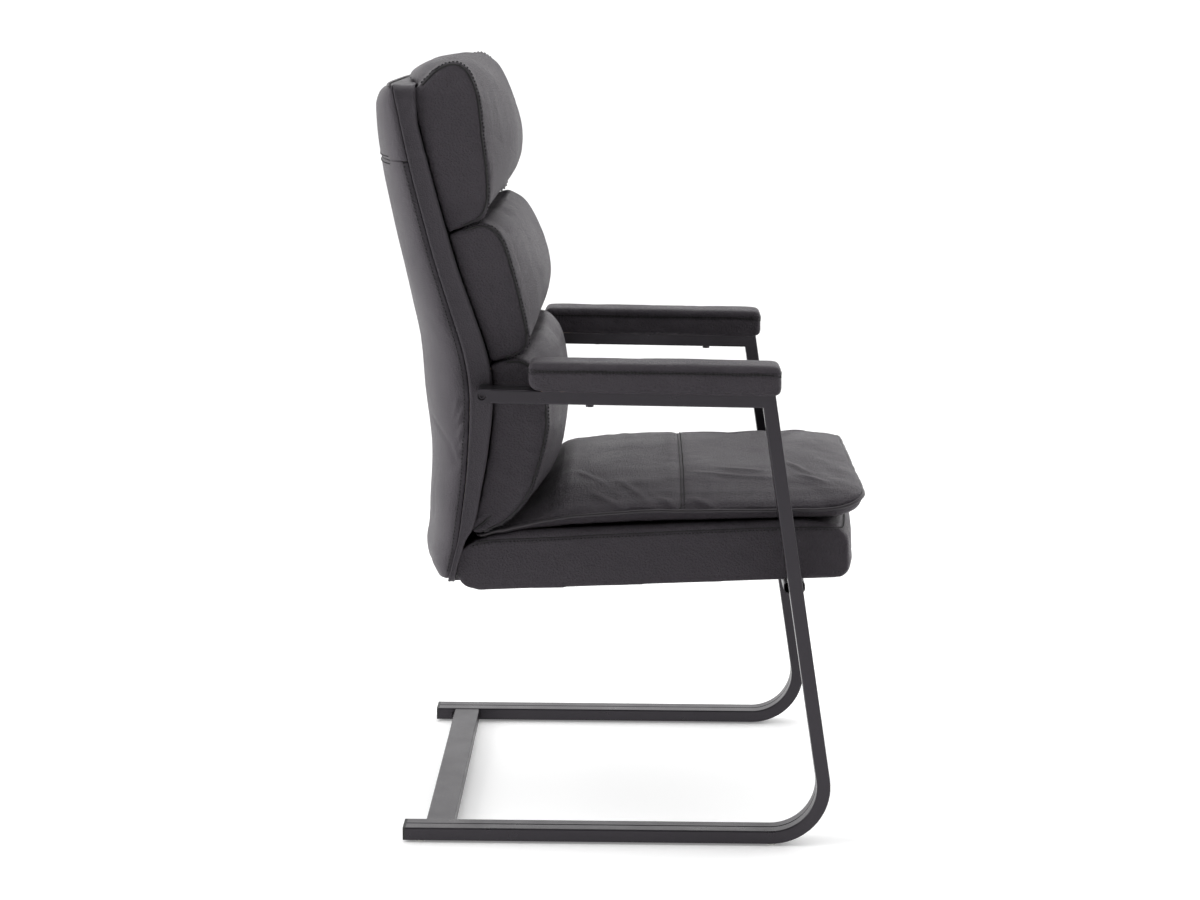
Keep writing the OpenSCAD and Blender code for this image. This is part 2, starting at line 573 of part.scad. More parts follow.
module back_brackets() color(steel_black) difference() {
    rear = seam_y(back_low) + board_set - touch;
    foot = seat_pt(bracket_us[0] - 15, -touch);
    bend = [rear - bracket_bend_r,
        foot[1] - (rear - bracket_bend_r - foot[0]) * tan(seat_tilt) - bracket_t + bracket_bend_r];
    zs = steps(bend[1] + bracket_bend_r, bracket_top, 8);
    both_sides() translate([bracket_x, 0, 0]) side_slab(bracket_w) polygon(concat(
        [foot - [0, bracket_t]], arc(bend, bracket_bend_r, -90 - seat_tilt, 0, 5),
        [for (z = zs) [seam_y(z) + board_set - touch, z]],
        [for (i = [8:-1:0]) [seam_y(zs[i]) + board_set - touch - bracket_t, zs[i]]],
        arc(bend, bracket_bend_r - bracket_t, 0, -90 - seat_tilt, 5), [foot]));
    at_bracket_bolts() translate([0, 0, -20]) cylinder(r = screw_hole_r, h = 40);
    at_bracket_back_bolts() translate([0, 0, -20]) cylinder(r = screw_hole_r, h = 25);
}
module bracket_seat_bolts() color(zinc) at_bracket_bolts() translate([0, 0, -2 * touch - bracket_t])
    button_bolt(bracket_t + board_v + board_t);
module bracket_seat_tee_nuts() color(zinc) at_bracket_bolts() translate([0, 0, board_v + touch])
    tee_nut(board_t);
module bracket_back_bolts() color(zinc) at_bracket_back_bolts()
    translate([0, 0, -2 * touch - bracket_t]) button_bolt(bracket_t + back_board_t);
module bracket_back_tee_nuts() color(zinc) at_bracket_back_bolts() translate([0, 0, touch])
    tee_nut(back_board_t);

module back_board() color(plywood) difference() {
    side_slab(back_w - 2 * board_inset) polygon(back_slice(board_low, board_top,
        function(z) seam_y(z) + board_set, function(z) seam_y(z) + board_set + back_board_t));
    at_bracket_back_bolts() translate([0, 0, -5]) cylinder(r = tee_r + fit_gap, h = back_board_t + 10);
}

band_inner = back_w / 2 - band_t;
block_zs = [rail_end[1] - block_h / 2, rail_end[1] + block_h / 2];
// Blocks beside the board, from the front foam to the board's front face, c larger all round
module side_blocks(c) both_sides() translate([touch - band_inner - c, 0, 0]) rotate([90, 0, 90])
    linear_extrude(block_len + 2 * c) polygon(concat([[block_front - c, block_zs[0] - c]],
        [for (z = steps(block_zs[0] - c, block_zs[1] + c, 4)) [seam_y(z) + board_set - touch + c, z]],
        [[block_front - c, block_zs[1] + c]]));
module at_rail_bolts(x) both_sides() at_side(-x, rail_end) children();
module back_side_blocks() color(plywood) difference() {
    side_blocks(0);
    at_rail_bolts(band_inner + 1) x_rod(insert_r + fit_gap, rail_bolt_len);
}
module back_threaded_inserts() color(zinc) at_rail_bolts(band_inner - touch) difference() {
    x_rod(insert_r, insert_len);
    translate([-1, 0, 0]) x_rod(screw_hole_r, insert_len + 2);
}
module rail_bolts() color(zinc) at_rail_bolts(outer_x - recess_depth + head_h + touch) difference() {
    union() {
        x_rod(head_r, head_h);
        x_rod(bolt_d / 2, head_h + rail_bolt_len);
    }
    translate([-1, 0, 0]) rotate([0, 90, 0]) cylinder(r = hex_r, h = head_h / 2 + 1, $fn = 6);
}
module back_spacers() color(plastic_black) at_rail_bolts(inner_x) difference() {
    x_rod(spacer_r, inner_x - back_w / 2);
    translate([-1, 0, 0]) x_rod(screw_hole_r, inner_x - back_w / 2 + 2);
}

module back_front_foam() color(foam) difference() {
    side_slab(2 * band_inner - 6) polygon(back_slice(foam_low, foam_top,
        function(z) band_y(z) + lining_set + lining_t + soft_gap,
        function(z) seam_y(z) + board_set - soft_gap));
    side_blocks(soft_gap);
}
// The back's outline in its front view, drawn in by an inset and long enough to cut the whole back
module back_outline(inset) translate([0, 2 * rail_end[0], (back_low + back_top) / 2]) rotate([90, 0, 0])
    linear_extrude(2 * rail_end[0])
    round_rect(back_w - 2 * inset, back_top - back_low - 2 * inset, band_corner - inset);
module back_front_lining() color(lining_black) intersection() {
    side_slab(back_w) polygon(back_slice(back_low - 1, back_top + 1,
        function(z) band_y(z) + lining_set, function(z) band_y(z) + lining_set + lining_t));
    back_outline(band_t + soft_gap);
}
module back_side_band() color(leather_smooth) difference() {
    intersection() {
        side_slab(back_w + 2) polygon(back_slice(back_low - 1, back_top + 1,
            function(z) band_y(z), function(z) seam_y(z)));
        back_outline(0);
    }
    back_outline(band_t);
    at_rail_bolts(back_w / 2 + 1) x_rod(screw_hole_r + 1, band_t + 2);
}

// Plan of the rear cover at height z from seam to seam: half width w, depth d, n steps,
// turned through the angle a to each side
function rear_ring(z, w, d, a, n) = [for (i = [0:n]) let (f = a * (2 * i / n - 1))
    [sign(f) * w * pow(abs(sin(f)), 2 / rear_round),
        seam_y(z) + soft_gap + d * pow(max(0, cos(f)), 2 / rear_round), z]];
function rear_half(z) = back_w / 2 - corner_loss(rear_top - z, band_corner);
// Height of the shell's inside for the outside height z, a cover's thickness lower at the top
function inside_z(z) = z - cover_t * max(0, z - yoke_z) / (rear_top - yoke_z);
function rear_shell(zs, t) = [for (z = zs)
    rear_ring(t > 0 ? inside_z(z) : z, rear_half(z) - t, bulge(z) - soft_gap - t, 90, 16)];
module back_rear_cover() color(leather_smooth) {
    zs = concat([for (h = [0, 6, 14, 24, 36, 53]) rear_low + h],
        steps(rear_low + 78, yoke_z - soft_gap, 12));
    loft_shell(rear_shell(zs, 0), rear_shell(zs, cover_t), [], []);
}
module back_yoke_cover() color(leather_smooth) {
    zs = concat([yoke_z], [for (h = [66, 41, 27, 15, 8, 3, 0]) rear_top - h]);
    outer = rear_shell(zs, 0);
    inner = rear_shell(zs, cover_t);
    last = len(zs) - 1;
    loft_shell(outer, inner, [],
        [[0, outer[last][0][1], rear_top], [0, inner[last][0][1], rear_top - cover_t]]);
}
module back_rear_foam() color(foam) {
    front = board_set + back_board_t + soft_gap;
    loft_solid([for (z = steps(foam_low + 4, board_top - 10, 10))
        let (d = bulge(z) - cover_t - fill_gap, a = acos(pow(front / d, rear_round / 2)))
        rear_ring(z, back_w / 2 - cover_t - fill_gap, d, a, 14)]);
}

// A roll between the given heights of its rear edge, which follows the band
function rear_edge(low, high) = [for (z = steps(high, low, 10)) [band_y(z) - roll_gap, z]];
function roll_ring(side, mid, low, high, share) = concat(
    smooth_path([for (i = [0:len(side) - 1]) [depth_set, 0] + lerp(side[i], mid[i], share)], 2),
    rear_edge(low, lerp(high[0], high[1], share)));
module roll(side, mid, low, high) color(leather) {
    half = back_w / 2 - roll_inset;
    loft_solid([for (k = roll_steps) [for (p = roll_ring(side, mid, low, high, 1 - pow(abs(k), 2.6)))
        [k * half, p[0], p[1]]]]);
}
module head_roll() roll(head_side, head_mid, head_low, head_high);
module middle_roll() roll(middle_side, middle_mid, middle_low, middle_high);
module lower_roll() roll(lower_side, lower_mid, lower_low, lower_high);

// Arm pad: its radii, and rows of [share of the half width, how much smaller the outline is there]
pad_low_front = 6;
pad_low_rear = 15;
pad_top_front = 8;
pad_top_rear = 9;
pad_rows = [[-1, 3], [-0.9, 0.8], [-0.6, 0.2], [0, 0], [0.6, 0.2], [0.9, 0.8], [1, 3]];
// Outline of the pad from its front lip to its rear lip, e smaller and t inside its skin
function pad_ring(e, t) = let (f = e - pad_front, r = pad_len - pad_front - e, h = pad_h - e) concat(
    arc([f + pad_low_front, pad_low_front], pad_low_front - t, 270, 180, 2),
    arc([f + pad_top_front, h - pad_top_front], pad_top_front - t, 180, 90, 3),
    arc([r - pad_top_rear, h - pad_top_rear], pad_top_rear - t, 90, 0, 3),
    arc([r - pad_low_rear, pad_low_rear], pad_low_rear - t, 0, -90, 4));
// Puts a part drawn about the pad's middle on top of the rail, side -1 right or 1 left
module on_rail(side) rail_frame() translate([side * (inner_x + tube), 0, tube / 2 + touch]) children();
module arm_pad(side) color(leather) on_rail(side) {
    half = pad_w / 2;
    inner_half = half - cover_t;
    mid = pad_len / 2 - pad_front;
    loft_shell([for (r = pad_rows) [for (p = pad_ring(r[1], 0)) [r[0] * half, p[0], p[1]]]],
        [for (r = pad_rows) [for (p = pad_ring(r[1], cover_t)) [r[0] * inner_half, p[0], p[1]]]],
        [[-half, mid, 0], [-inner_half, mid, touch]], [[half, mid, 0], [inner_half, mid, touch]]);
}
module arm_pad_foam(side) color(foam) on_rail(side)
    side_slab(pad_w - 2 * cover_t - 5) polygon(concat(
        [[4 - pad_front, pad_board_t + touch]],
        arc([12 - pad_front, pad_h - 11.5], pad_top_front, 180, 90, 4),
        arc([pad_len - pad_front - 13, pad_h - 12.5], pad_top_rear, 90, 0, 4),
        [[pad_len - pad_front - 6, pad_board_t + touch]]));
module arm_pad_board(side) color(plywood) difference() {
    on_rail(side) translate([cover_t + 1 - pad_w / 2, pad_low_front + 4 - pad_front, 0])
        cube([pad_w - 2 * cover_t - 2, pad_len - pad_low_front - pad_low_rear - 8, pad_board_t]);
    at_pad_screws() cylinder(r = screw_hole_r, h = 2 * tube + pad_board_t);
}
module right_arm_pad() arm_pad(-1);
module left_arm_pad() arm_pad(1);
module right_arm_pad_foam() arm_pad_foam(-1);
module left_arm_pad_foam() arm_pad_foam(1);
module right_arm_pad_board() arm_pad_board(-1);
module left_arm_pad_board() arm_pad_board(1);
module arm_pad_screws() color(steel_black) at_pad_screws() button_bolt(pad_screw_len);

right_outer_leg_tube();
right_inner_leg_tube();
left_inner_leg_tube();
left_outer_leg_tube();
right_outer_rail_tube();
right_inner_rail_tube();
left_inner_rail_tube();
left_outer_rail_tube();
right_rail_end();
left_rail_end();
runner_end_caps();
floor_glides();
rear_cross_bar();
cross_bar_gussets();
seat_cross_tube();
seat_tube_bolts();
seat_tube_tee_nuts();
seat_board();
seat_base_foam();
seat_base_cover();
seat_dust_cover();
seat_cushion();
seat_cushion_piping();
back_brackets();
bracket_seat_bolts();
bracket_seat_tee_nuts();
bracket_back_bolts();
bracket_back_tee_nuts();
back_board();
back_side_blocks();
back_threaded_inserts();
back_front_foam();
back_front_lining();
back_side_band();
back_rear_foam();
back_rear_cover();
back_yoke_cover();
head_roll();
middle_roll();
lower_roll();
rail_bolts();
back_spacers();
right_arm_pad();
left_arm_pad();
right_arm_pad_foam();
left_arm_pad_foam();
right_arm_pad_board();
left_arm_pad_board();
arm_pad_screws();
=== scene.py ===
"""Cantilever visitor armchair: its upholstery, finishes and studio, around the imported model.

Each sub-assembly is a class that holds its sizes, builds its meshes and dresses them. The padded
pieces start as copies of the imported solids, are remeshed on their form, inflated by a cloth simulation
and then sewn: seams pull the cover in, the cover gathers beside them, and stitches and piping follow the
finished surface. Lengths are in metres and angles in radians, unless a comment says otherwise.
"""

import json
import logging
import math
from dataclasses import dataclass, replace
from enum import Enum
from typing import Callable, Iterable, Sequence

import bmesh
import bpy
import numpy as np
from mathutils import Matrix, Vector, noise
from mathutils.bvhtree import BVHTree
from mathutils.kdtree import KDTree


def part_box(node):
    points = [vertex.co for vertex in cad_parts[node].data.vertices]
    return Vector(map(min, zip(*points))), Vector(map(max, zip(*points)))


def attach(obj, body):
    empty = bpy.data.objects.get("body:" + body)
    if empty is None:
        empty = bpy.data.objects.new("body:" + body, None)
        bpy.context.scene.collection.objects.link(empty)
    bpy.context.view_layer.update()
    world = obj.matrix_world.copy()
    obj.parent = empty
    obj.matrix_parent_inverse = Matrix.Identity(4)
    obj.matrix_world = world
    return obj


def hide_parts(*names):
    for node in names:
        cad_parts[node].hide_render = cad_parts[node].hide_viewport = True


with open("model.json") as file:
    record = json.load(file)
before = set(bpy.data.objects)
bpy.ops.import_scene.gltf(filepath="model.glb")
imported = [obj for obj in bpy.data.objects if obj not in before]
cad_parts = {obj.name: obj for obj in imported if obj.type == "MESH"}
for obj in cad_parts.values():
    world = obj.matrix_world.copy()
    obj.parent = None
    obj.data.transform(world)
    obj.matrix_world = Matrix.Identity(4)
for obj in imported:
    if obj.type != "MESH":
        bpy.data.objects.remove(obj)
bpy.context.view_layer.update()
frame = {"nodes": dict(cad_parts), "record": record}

LOG = logging.getLogger("armchair")
BODY = "root"
SIDES = (-1, 1)
SHARP_ANGLE = 0.7
# Blender draws its vector noise from the clock unless it gets a seed, so each build sets this one
NOISE_SEED = 7
# Most of a noise pattern lies between these values
NOISE_RANGE = (0.3, 0.7)
CLOTH_FRAMES = 20
# Spacing of the points along a seam's groove, and along the lines of seams, welts and piping
SEAM_STEP = 0.002
PATH_STEP = 0.004
# Radius of the dark cord that paints the shade in a seam's slit
SLIT_SHADE_RADIUS = 0.0007
# A height above the seat, from where lines are dropped onto it, and how far out a roll's side panel lies
ABOVE_SEAT = 1.0
SIDE_PANEL = 0.248

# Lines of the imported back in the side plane, as [height, value] stations in millimetres
SEAM_LINE = ((366, 235), (400, 226), (445, 219), (500, 211.5), (545, 207.5), (610, 204.5), (650, 206),
             (690, 213), (750, 231), (810, 249.5), (870, 265.5), (945, 284), (1020, 299.5), (1052, 306))
BAND_LINE = ((366, 3), (400, 2.7), (424, 8), (445, 19), (500, 23), (545, 27), (632, 32.5), (720, 32),
             (800, 29), (870, 27.5), (950, 26), (1052, 21))
BULGE_LINE = ((366, 15), (376, 26), (386, 36), (405, 47), (445, 57), (540, 66), (632, 79), (729, 71),
              (800, 63.5), (860, 60), (960, 54), (1020, 45.5), (1036, 37), (1046, 25), (1051, 8))
# Height of the seat cushion's piped edge, from its front to its rear
EDGE_LINE = ((-343, 489), (-325, 480), (-290, 474), (-162, 470), (-42, 468), (44, 462), (113, 452),
             (169, 439), (198, 435))
# Seam along the top of the seat base's side, from its rear to its front
BASE_SEAM = ((206, 424), (190, 427), (113, 429.5), (44, 434), (-12, 437.5), (-132, 444.5), (-207, 448),
             (-280, 450.5), (-306, 449))

# Folds of the cover by the seat's cross seam, as [x, y] on the cushion's top, and on the back's sides, as
# [y, z]: [start, end, height], a groove where the height is negative
CUSHION_FOLDS = (((-150, -108), (-176, -216), 1.6), ((-225, -101), (-243, -137), 1.5),
                 ((-128, -142), (-150, -211), 1.2), ((-224, -58), (-246, -86), 1.7),
                 ((-178, -2), (-246, -50), 1.6), ((-95, -238), (-158, -272), 1.4),
                 ((-160, -250), (-196, -296), 1.5), ((-120, 60), (-200, 10), 1.0),
                 ((-206, 40), (-240, -10), 1.2))
REAR_FOLDS = (((229, 589), (209, 617), 1.5), ((227, 568), (207, 599), 1.8), ((225, 548), (205, 578), 1.6),
              ((222, 527), (207, 555), 1.2), ((236, 600), (224, 628), 0.9), ((240, 560), (226, 540), 0.9))
ROLL_FOLDS = (((199, 441), (177, 460), -2.6), ((202, 449), (181, 467), 1.8), ((134, 520), (118, 535), 0.9),
              ((139, 497), (124, 508), 1.0), ((128, 547), (114, 556), 0.8), ((124, 575), (110, 583), 0.8))

# The tuck near the band's top, as its ends' [y, z]
BAND_TUCK = ((291.5, 1027.5), (280.5, 1034))


class Slot(Enum):
    """The record's material slots."""

    FRAME = "frame"
    HARDWARE = "hardware"
    PLASTIC = "plastic"
    GLIDE = "glide"
    BOARD = "board"
    FOAM = "foam"
    LINING = "lining"
    COVER = "cover"
    CUSHION = "cushion"


def millimetres(points: Iterable) -> np.ndarray:
    """Give a list of lengths or points in millimetres as metres."""
    return np.asarray(points, float) * 0.001


def eased(share: np.ndarray) -> np.ndarray:
    """Round off a rise from 0 to 1 at both ends."""
    return share * share * (3 - 2 * share)


def ramp(value: np.ndarray, start: float, length: float) -> np.ndarray:
    """Rise from 0 at the start to 1 a length further, or towards smaller values where it is negative."""
    return np.clip((value - start) / length, 0, 1)


def flow(stations: Sequence, at: np.ndarray) -> np.ndarray:
    """Read a smooth curve through stations, as the CAD source draws it.

    Args:
        stations: pairs of place and value, in metres.
        at: the places to read.

    Returns:
        The curve's value at each place, level beyond the ends.
    """
    place, value = np.asarray(stations, float).T
    ends = np.arange(len(place))
    after, before = np.minimum(ends + 1, len(place) - 1), np.maximum(ends - 1, 0)
    slope = (value[after] - value[before]) / (place[after] - place[before])
    i = np.clip(np.searchsorted(place, at, "right") - 1, 0, len(place) - 2)
    step = place[i + 1] - place[i]
    k = np.clip((at - place[i]) / step, 0, 1)
    bend = (1 - k) * slope[i] * step - k * slope[i + 1] * step
    return value[i] + eased(k) * (value[i + 1] - value[i]) + k * (1 - k) * bend


def band_front(z: np.ndarray) -> np.ndarray:
    """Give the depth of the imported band's front edge, which the rolls lean on, at each height."""
    return flow(millimetres(SEAM_LINE), z) - flow(millimetres(BAND_LINE), z)


def sorted_points(points: Sequence) -> KDTree:
    """Sort points into a tree that finds the nearest one."""
    tree = KDTree(len(points))
    for i, point in enumerate(points):
        tree.insert(point, i)
    tree.balance()
    return tree


def side_word(side: int) -> str:
    """Name one side of the chair, as the sitter sees it."""
    return "right" if side < 0 else "left"


def deselect() -> None:
    """Leave nothing selected, so that an operator acts on one piece alone."""
    for item in bpy.context.selected_objects:
        item.select_set(False)


def take(piece: bpy.types.Object) -> None:
    """Select one piece alone and make it active."""
    deselect()
    piece.select_set(True)
    bpy.context.view_layer.objects.active = piece


def read_points(piece: bpy.types.Object) -> np.ndarray:
    """Give a piece's points as rows."""
    points = np.empty(len(piece.data.vertices) * 3)
    piece.data.vertices.foreach_get("co", points)
    return points.reshape(-1, 3)


def write_points(piece: bpy.types.Object, points: np.ndarray) -> None:
    """Move a piece's points to the given rows."""
    piece.data.vertices.foreach_set("co", points.ravel())
    piece.data.update()


def read_normals(piece: bpy.types.Object) -> np.ndarray:
    """Give the outward direction at each of a piece's points."""
    normals = np.empty(len(piece.data.vertices) * 3)
    piece.data.vertex_normals.foreach_get("vector", normals)
    return normals.reshape(-1, 3)


def new_piece(name: str, points: np.ndarray, faces: Sequence) -> bpy.types.Object:
    """Make a piece from points and faces."""
    mesh = bpy.data.meshes.new(name)
    mesh.from_pydata([tuple(p) for p in points], [], faces)
    piece = bpy.data.objects.new(name, mesh)
    bpy.context.scene.collection.objects.link(piece)
    return piece


def modify(piece: bpy.types.Object, kind: str, **settings: object) -> None:
    """Add one modifier with its settings and apply it.

    Args:
        piece: the piece to change.
        kind: Blender's name for the modifier.
        settings: the modifier's properties.
    """
    modifier = piece.modifiers.new(kind.title(), kind)
    for key, value in settings.items():
        setattr(modifier, key, value)
    take(piece)
    bpy.ops.object.modifier_apply(modifier=modifier.name)


def resample(path: np.ndarray, step: float) -> np.ndarray:
    """Give evenly spaced points along a path."""
    length = np.concatenate([[0], np.cumsum(np.linalg.norm(np.diff(path, axis=0), axis=1))])
    at = np.linspace(0, length[-1], max(2, int(round(length[-1] / step)) + 1))
    return np.stack([np.interp(at, length, path[:, c]) for c in range(3)], axis=1)


def lay_on(path: np.ndarray, piece: bpy.types.Object, lift: float = 0.0, smooth: int = 6) -> np.ndarray:
    """Lay a path on a piece's finished surface.

    Args:
        path: points near the surface.
        piece: the piece that carries the path.
        lift: height of the path above the surface.
        smooth: how often neighbouring points are averaged.

    Returns:
        The path's points on the surface.
    """
    tree = BVHTree.FromObject(piece, bpy.context.evaluated_depsgraph_get())
    found = [tree.find_nearest(Vector(p)) for p in path]
    laid = np.array([hit[0] + hit[1] * lift for hit in found])
    for _ in range(smooth):
        laid[1:-1] = (laid[:-2] + 2 * laid[1:-1] + laid[2:]) / 4
    return laid


def drop_on(path: np.ndarray, piece: bpy.types.Object) -> np.ndarray:
    """Drop the points of a path straight down onto a piece, or move them to it where they fall past."""
    tree = BVHTree.FromObject(piece, bpy.context.evaluated_depsgraph_get())
    down = Vector((0, 0, -1))
    hits = [tree.ray_cast(Vector((x, y, ABOVE_SEAT)), down)[0] or tree.find_nearest(Vector((x, y, z)))[0]
            for x, y, z in path]
    return np.array([tuple(hit) for hit in hits])


def tube(name: str, path: np.ndarray, radius: float, closed: bool = False) -> bpy.types.Object:
    """Sew a round cord along a path: piping or a welt.

    Args:
        name: the new piece's name.
        path: the cord's centreline.
        radius: the cord's radius.
        closed: whether the path is a loop.

    Returns:
        The cord as a mesh.
    """
    curve = bpy.data.curves.new(name, "CURVE")
    curve.dimensions = "3D"
    curve.bevel_depth = radius
    curve.bevel_resolution = 3
    curve.use_fill_caps = not closed
    spline = curve.splines.new("POLY")
    spline.points.add(len(path) - 1)
    spline.points.foreach_set("co", np.column_stack([path, np.ones(len(path))]).ravel())
    spline.use_cyclic_u = closed
    cord = bpy.data.objects.new(name, curve)
    bpy.context.scene.collection.objects.link(cord)
    take(cord)
    bpy.ops.object.convert(target="MESH")
    return bpy.context.view_layer.objects.active


class Graph:
    """Writes one material's nodes, starting from the piece's own coordinates."""

    def __init__(self, name: str) -> None:
        """Start a material with its surface shader and its output."""
        self.material = bpy.data.materials.new(name)
        self.material.use_nodes = True
        self.tree = self.material.node_tree
        self.tree.nodes.clear()
        self.place = self.add("ShaderNodeTexCoord").outputs["Object"]
        self.surface = self.add("ShaderNodeBsdfPrincipled")
        output = self.add("ShaderNodeOutputMaterial")
        self.tree.links.new(self.surface.outputs[0], output.inputs["Surface"])

    def add(self, kind: str, settings: dict | None = None, inputs: dict | None = None) -> bpy.types.Node:
        """Add a node, set its properties and fill or link its inputs."""
        node = self.tree.nodes.new(kind)
        for key, value in (settings or {}).items():
            setattr(node, key, value)
        self.feed(node, inputs or {})
        return node

    def feed(self, node: bpy.types.Node, inputs: dict) -> None:
        """Fill a node's inputs with values or link them to sockets."""
        for key, value in inputs.items():
            if isinstance(value, bpy.types.NodeSocket):
                self.tree.links.new(value, node.inputs[key])
            else:
                node.inputs[key].default_value = value

    def noise(self, scale: float, detail: float = 4.0,
              stretch: Sequence | None = None) -> bpy.types.NodeSocket:
        """Give a noise pattern, stretched along the axes where asked."""
        place = self.place
        if stretch:
            place = self.add("ShaderNodeMapping", {}, {"Vector": place, "Scale": stretch}).outputs[0]
        inputs = {"Vector": place, "Scale": scale, "Detail": detail}
        return self.add("ShaderNodeTexNoise", {}, inputs).outputs[0]

    def spread(self, value: bpy.types.NodeSocket, low: float, high: float) -> bpy.types.NodeSocket:
        """Stretch the middle of a pattern over a range."""
        inputs = {"Value": value, "From Min": NOISE_RANGE[0], "From Max": NOISE_RANGE[1],
                  "To Min": low, "To Max": high}
        return self.add("ShaderNodeMapRange", {}, inputs).outputs[0]

    def tint(self, value: bpy.types.NodeSocket, dark: Sequence, light: Sequence) -> None:
        """Colour the surface from dark to light by a pattern."""
        shades = self.add("ShaderNodeValToRGB", {}, {"Fac": value})
        for element, place, colour in zip(shades.color_ramp.elements, NOISE_RANGE, (dark, light)):
            element.position = place
            element.color = (*colour, 1)
        self.feed(self.surface, {"Base Color": shades.outputs[0]})

    def mix(self, base: bpy.types.NodeSocket, *layers: tuple) -> bpy.types.NodeSocket:
        """Add shares of other patterns to one, each given as a pattern and its share."""
        for pattern, share in layers:
            base = self.add("ShaderNodeMath", {"operation": "MULTIPLY_ADD"},
                            {0: pattern, 1: share, 2: base}).outputs[0]
        return base

    def relief(self, height: bpy.types.NodeSocket, distance: float, strength: float = 1.0) -> None:
        """Raise the surface by a pattern."""
        bump = self.add("ShaderNodeBump", {}, {"Height": height, "Distance": distance, "Strength": strength})
        self.feed(self.surface, {"Normal": bump.outputs[0]})


@dataclass(frozen=True)
class Leatherette:
    """Black coated cloth with a fine pebbled grain and a soft sheen."""

    name: str = "pebbled_leatherette"
    dark: tuple = (0.0116, 0.0100, 0.0124)
    light: tuple = (0.0240, 0.0210, 0.0252)
    pebbles: float = 330.0
    grain: float = 0.0013
    rough: tuple = (0.425, 0.565)
    gleam: tuple = (0.985, 0.90, 1.0, 1)
    sheen: tuple = (0.9, 0.84, 0.86, 1)

    def material(self) -> bpy.types.Material:
        """Build the material: pebbles, fine folds and patches of slightly different gloss, with painted shade in
        the low parts of the relief.
        """
        graph = Graph(self.name)
        cells = graph.add("ShaderNodeTexVoronoi", {"feature": "SMOOTH_F1"},
                          {"Vector": graph.place, "Scale": self.pebbles, "Smoothness": 0.5}).outputs[0]
        folds = graph.noise(58.0, 7.0)
        patches = graph.noise(9.0, 3.0)
        pores = graph.noise(1500.0, 2.0)
        height = graph.mix(pores, (patches, 0.3), (pores, 0.2), (folds, 0.14), (cells, 0.9))
        graph.relief(height, self.grain)
        # The colour follows the relief's patterns: a random tone of the grain, and painted shade that darkens the
        # low parts of the pebbles and folds
        graph.tint(graph.mix(pores, (folds, 0.3), (patches, 0.3), (cells, 0.7)), self.dark, self.light)
        graph.feed(graph.surface, {"Roughness": graph.spread(patches, *self.rough), "Specular IOR Level": 0.5,
                                   "Specular Tint": self.gleam, "Sheen Weight": 0.03, "Sheen Roughness": 0.4,
                                   "Sheen Tint": self.sheen})
        return graph.material


@dataclass(frozen=True)
class PowderCoat:
    """Satin black powder coat with its fine orange peel."""

    name: str = "powder_coat"
    dark: tuple = (0.0056, 0.0051, 0.0062)
    light: tuple = (0.0084, 0.0078, 0.0092)
    gleam: tuple = (0.97, 0.90, 1.0, 1)

    def material(self) -> bpy.types.Material:
        """Build the material: speckled relief and slightly uneven gloss."""
        graph = Graph(self.name)
        peel = graph.noise(1100.0, 3.0)
        cloud = graph.noise(24.0, 4.0)
        graph.relief(graph.mix(cloud, (peel, 0.8)), 0.00016)
        graph.tint(cloud, self.dark, self.light)
        graph.feed(graph.surface, {"Roughness": graph.spread(cloud, 0.27, 0.37), "Specular IOR Level": 0.54,
                                   "Specular Tint": self.gleam})
        return graph.material


@dataclass(frozen=True)
class Plain:
    """A finish with one patterned colour, one gloss and one fine relief."""

    name: str
    dark: tuple
    light: tuple
    scale: float
    grain: float
    rough: tuple
    metal: float = 0.0
    stretch: tuple | None = None
    clear: float = 0.0

    def material(self) -> bpy.types.Material:
        """Build the material from two sizes of noise."""
        graph = Graph(self.name)
        fine = graph.noise(self.scale, 4.0, self.stretch)
        broad = graph.noise(self.scale * 0.07, 3.0, self.stretch)
        graph.relief(graph.mix(broad, (fine, 0.7)), self.grain)
        graph.tint(graph.mix(graph.spread(broad, 0.2, 0.4), (fine, 0.4)), self.dark, self.light)
        graph.feed(graph.surface, {"Roughness": graph.spread(broad, *self.rough), "Metallic": self.metal,
                                   "Transmission Weight": self.clear})
        return graph.material


@dataclass(frozen=True)
class Weave:
    """A plain woven cloth: threads one way and across."""

    name: str
    dark: tuple
    light: tuple
    threads: float

    def material(self) -> bpy.types.Material:
        """Build the material from two crossed sets of waves."""
        graph = Graph(self.name)
        waves = [graph.add("ShaderNodeTexWave", {"bands_direction": way},
                           {"Vector": graph.place, "Scale": self.threads, "Distortion": 0.6}).outputs[1]
                 for way in ("X", "Z")]
        height = graph.mix(waves[1], (waves[0], 0.5))
        graph.relief(height, 0.0003)
        graph.tint(height, self.dark, self.light)
        graph.feed(graph.surface, {"Roughness": 0.85})
        return graph.material


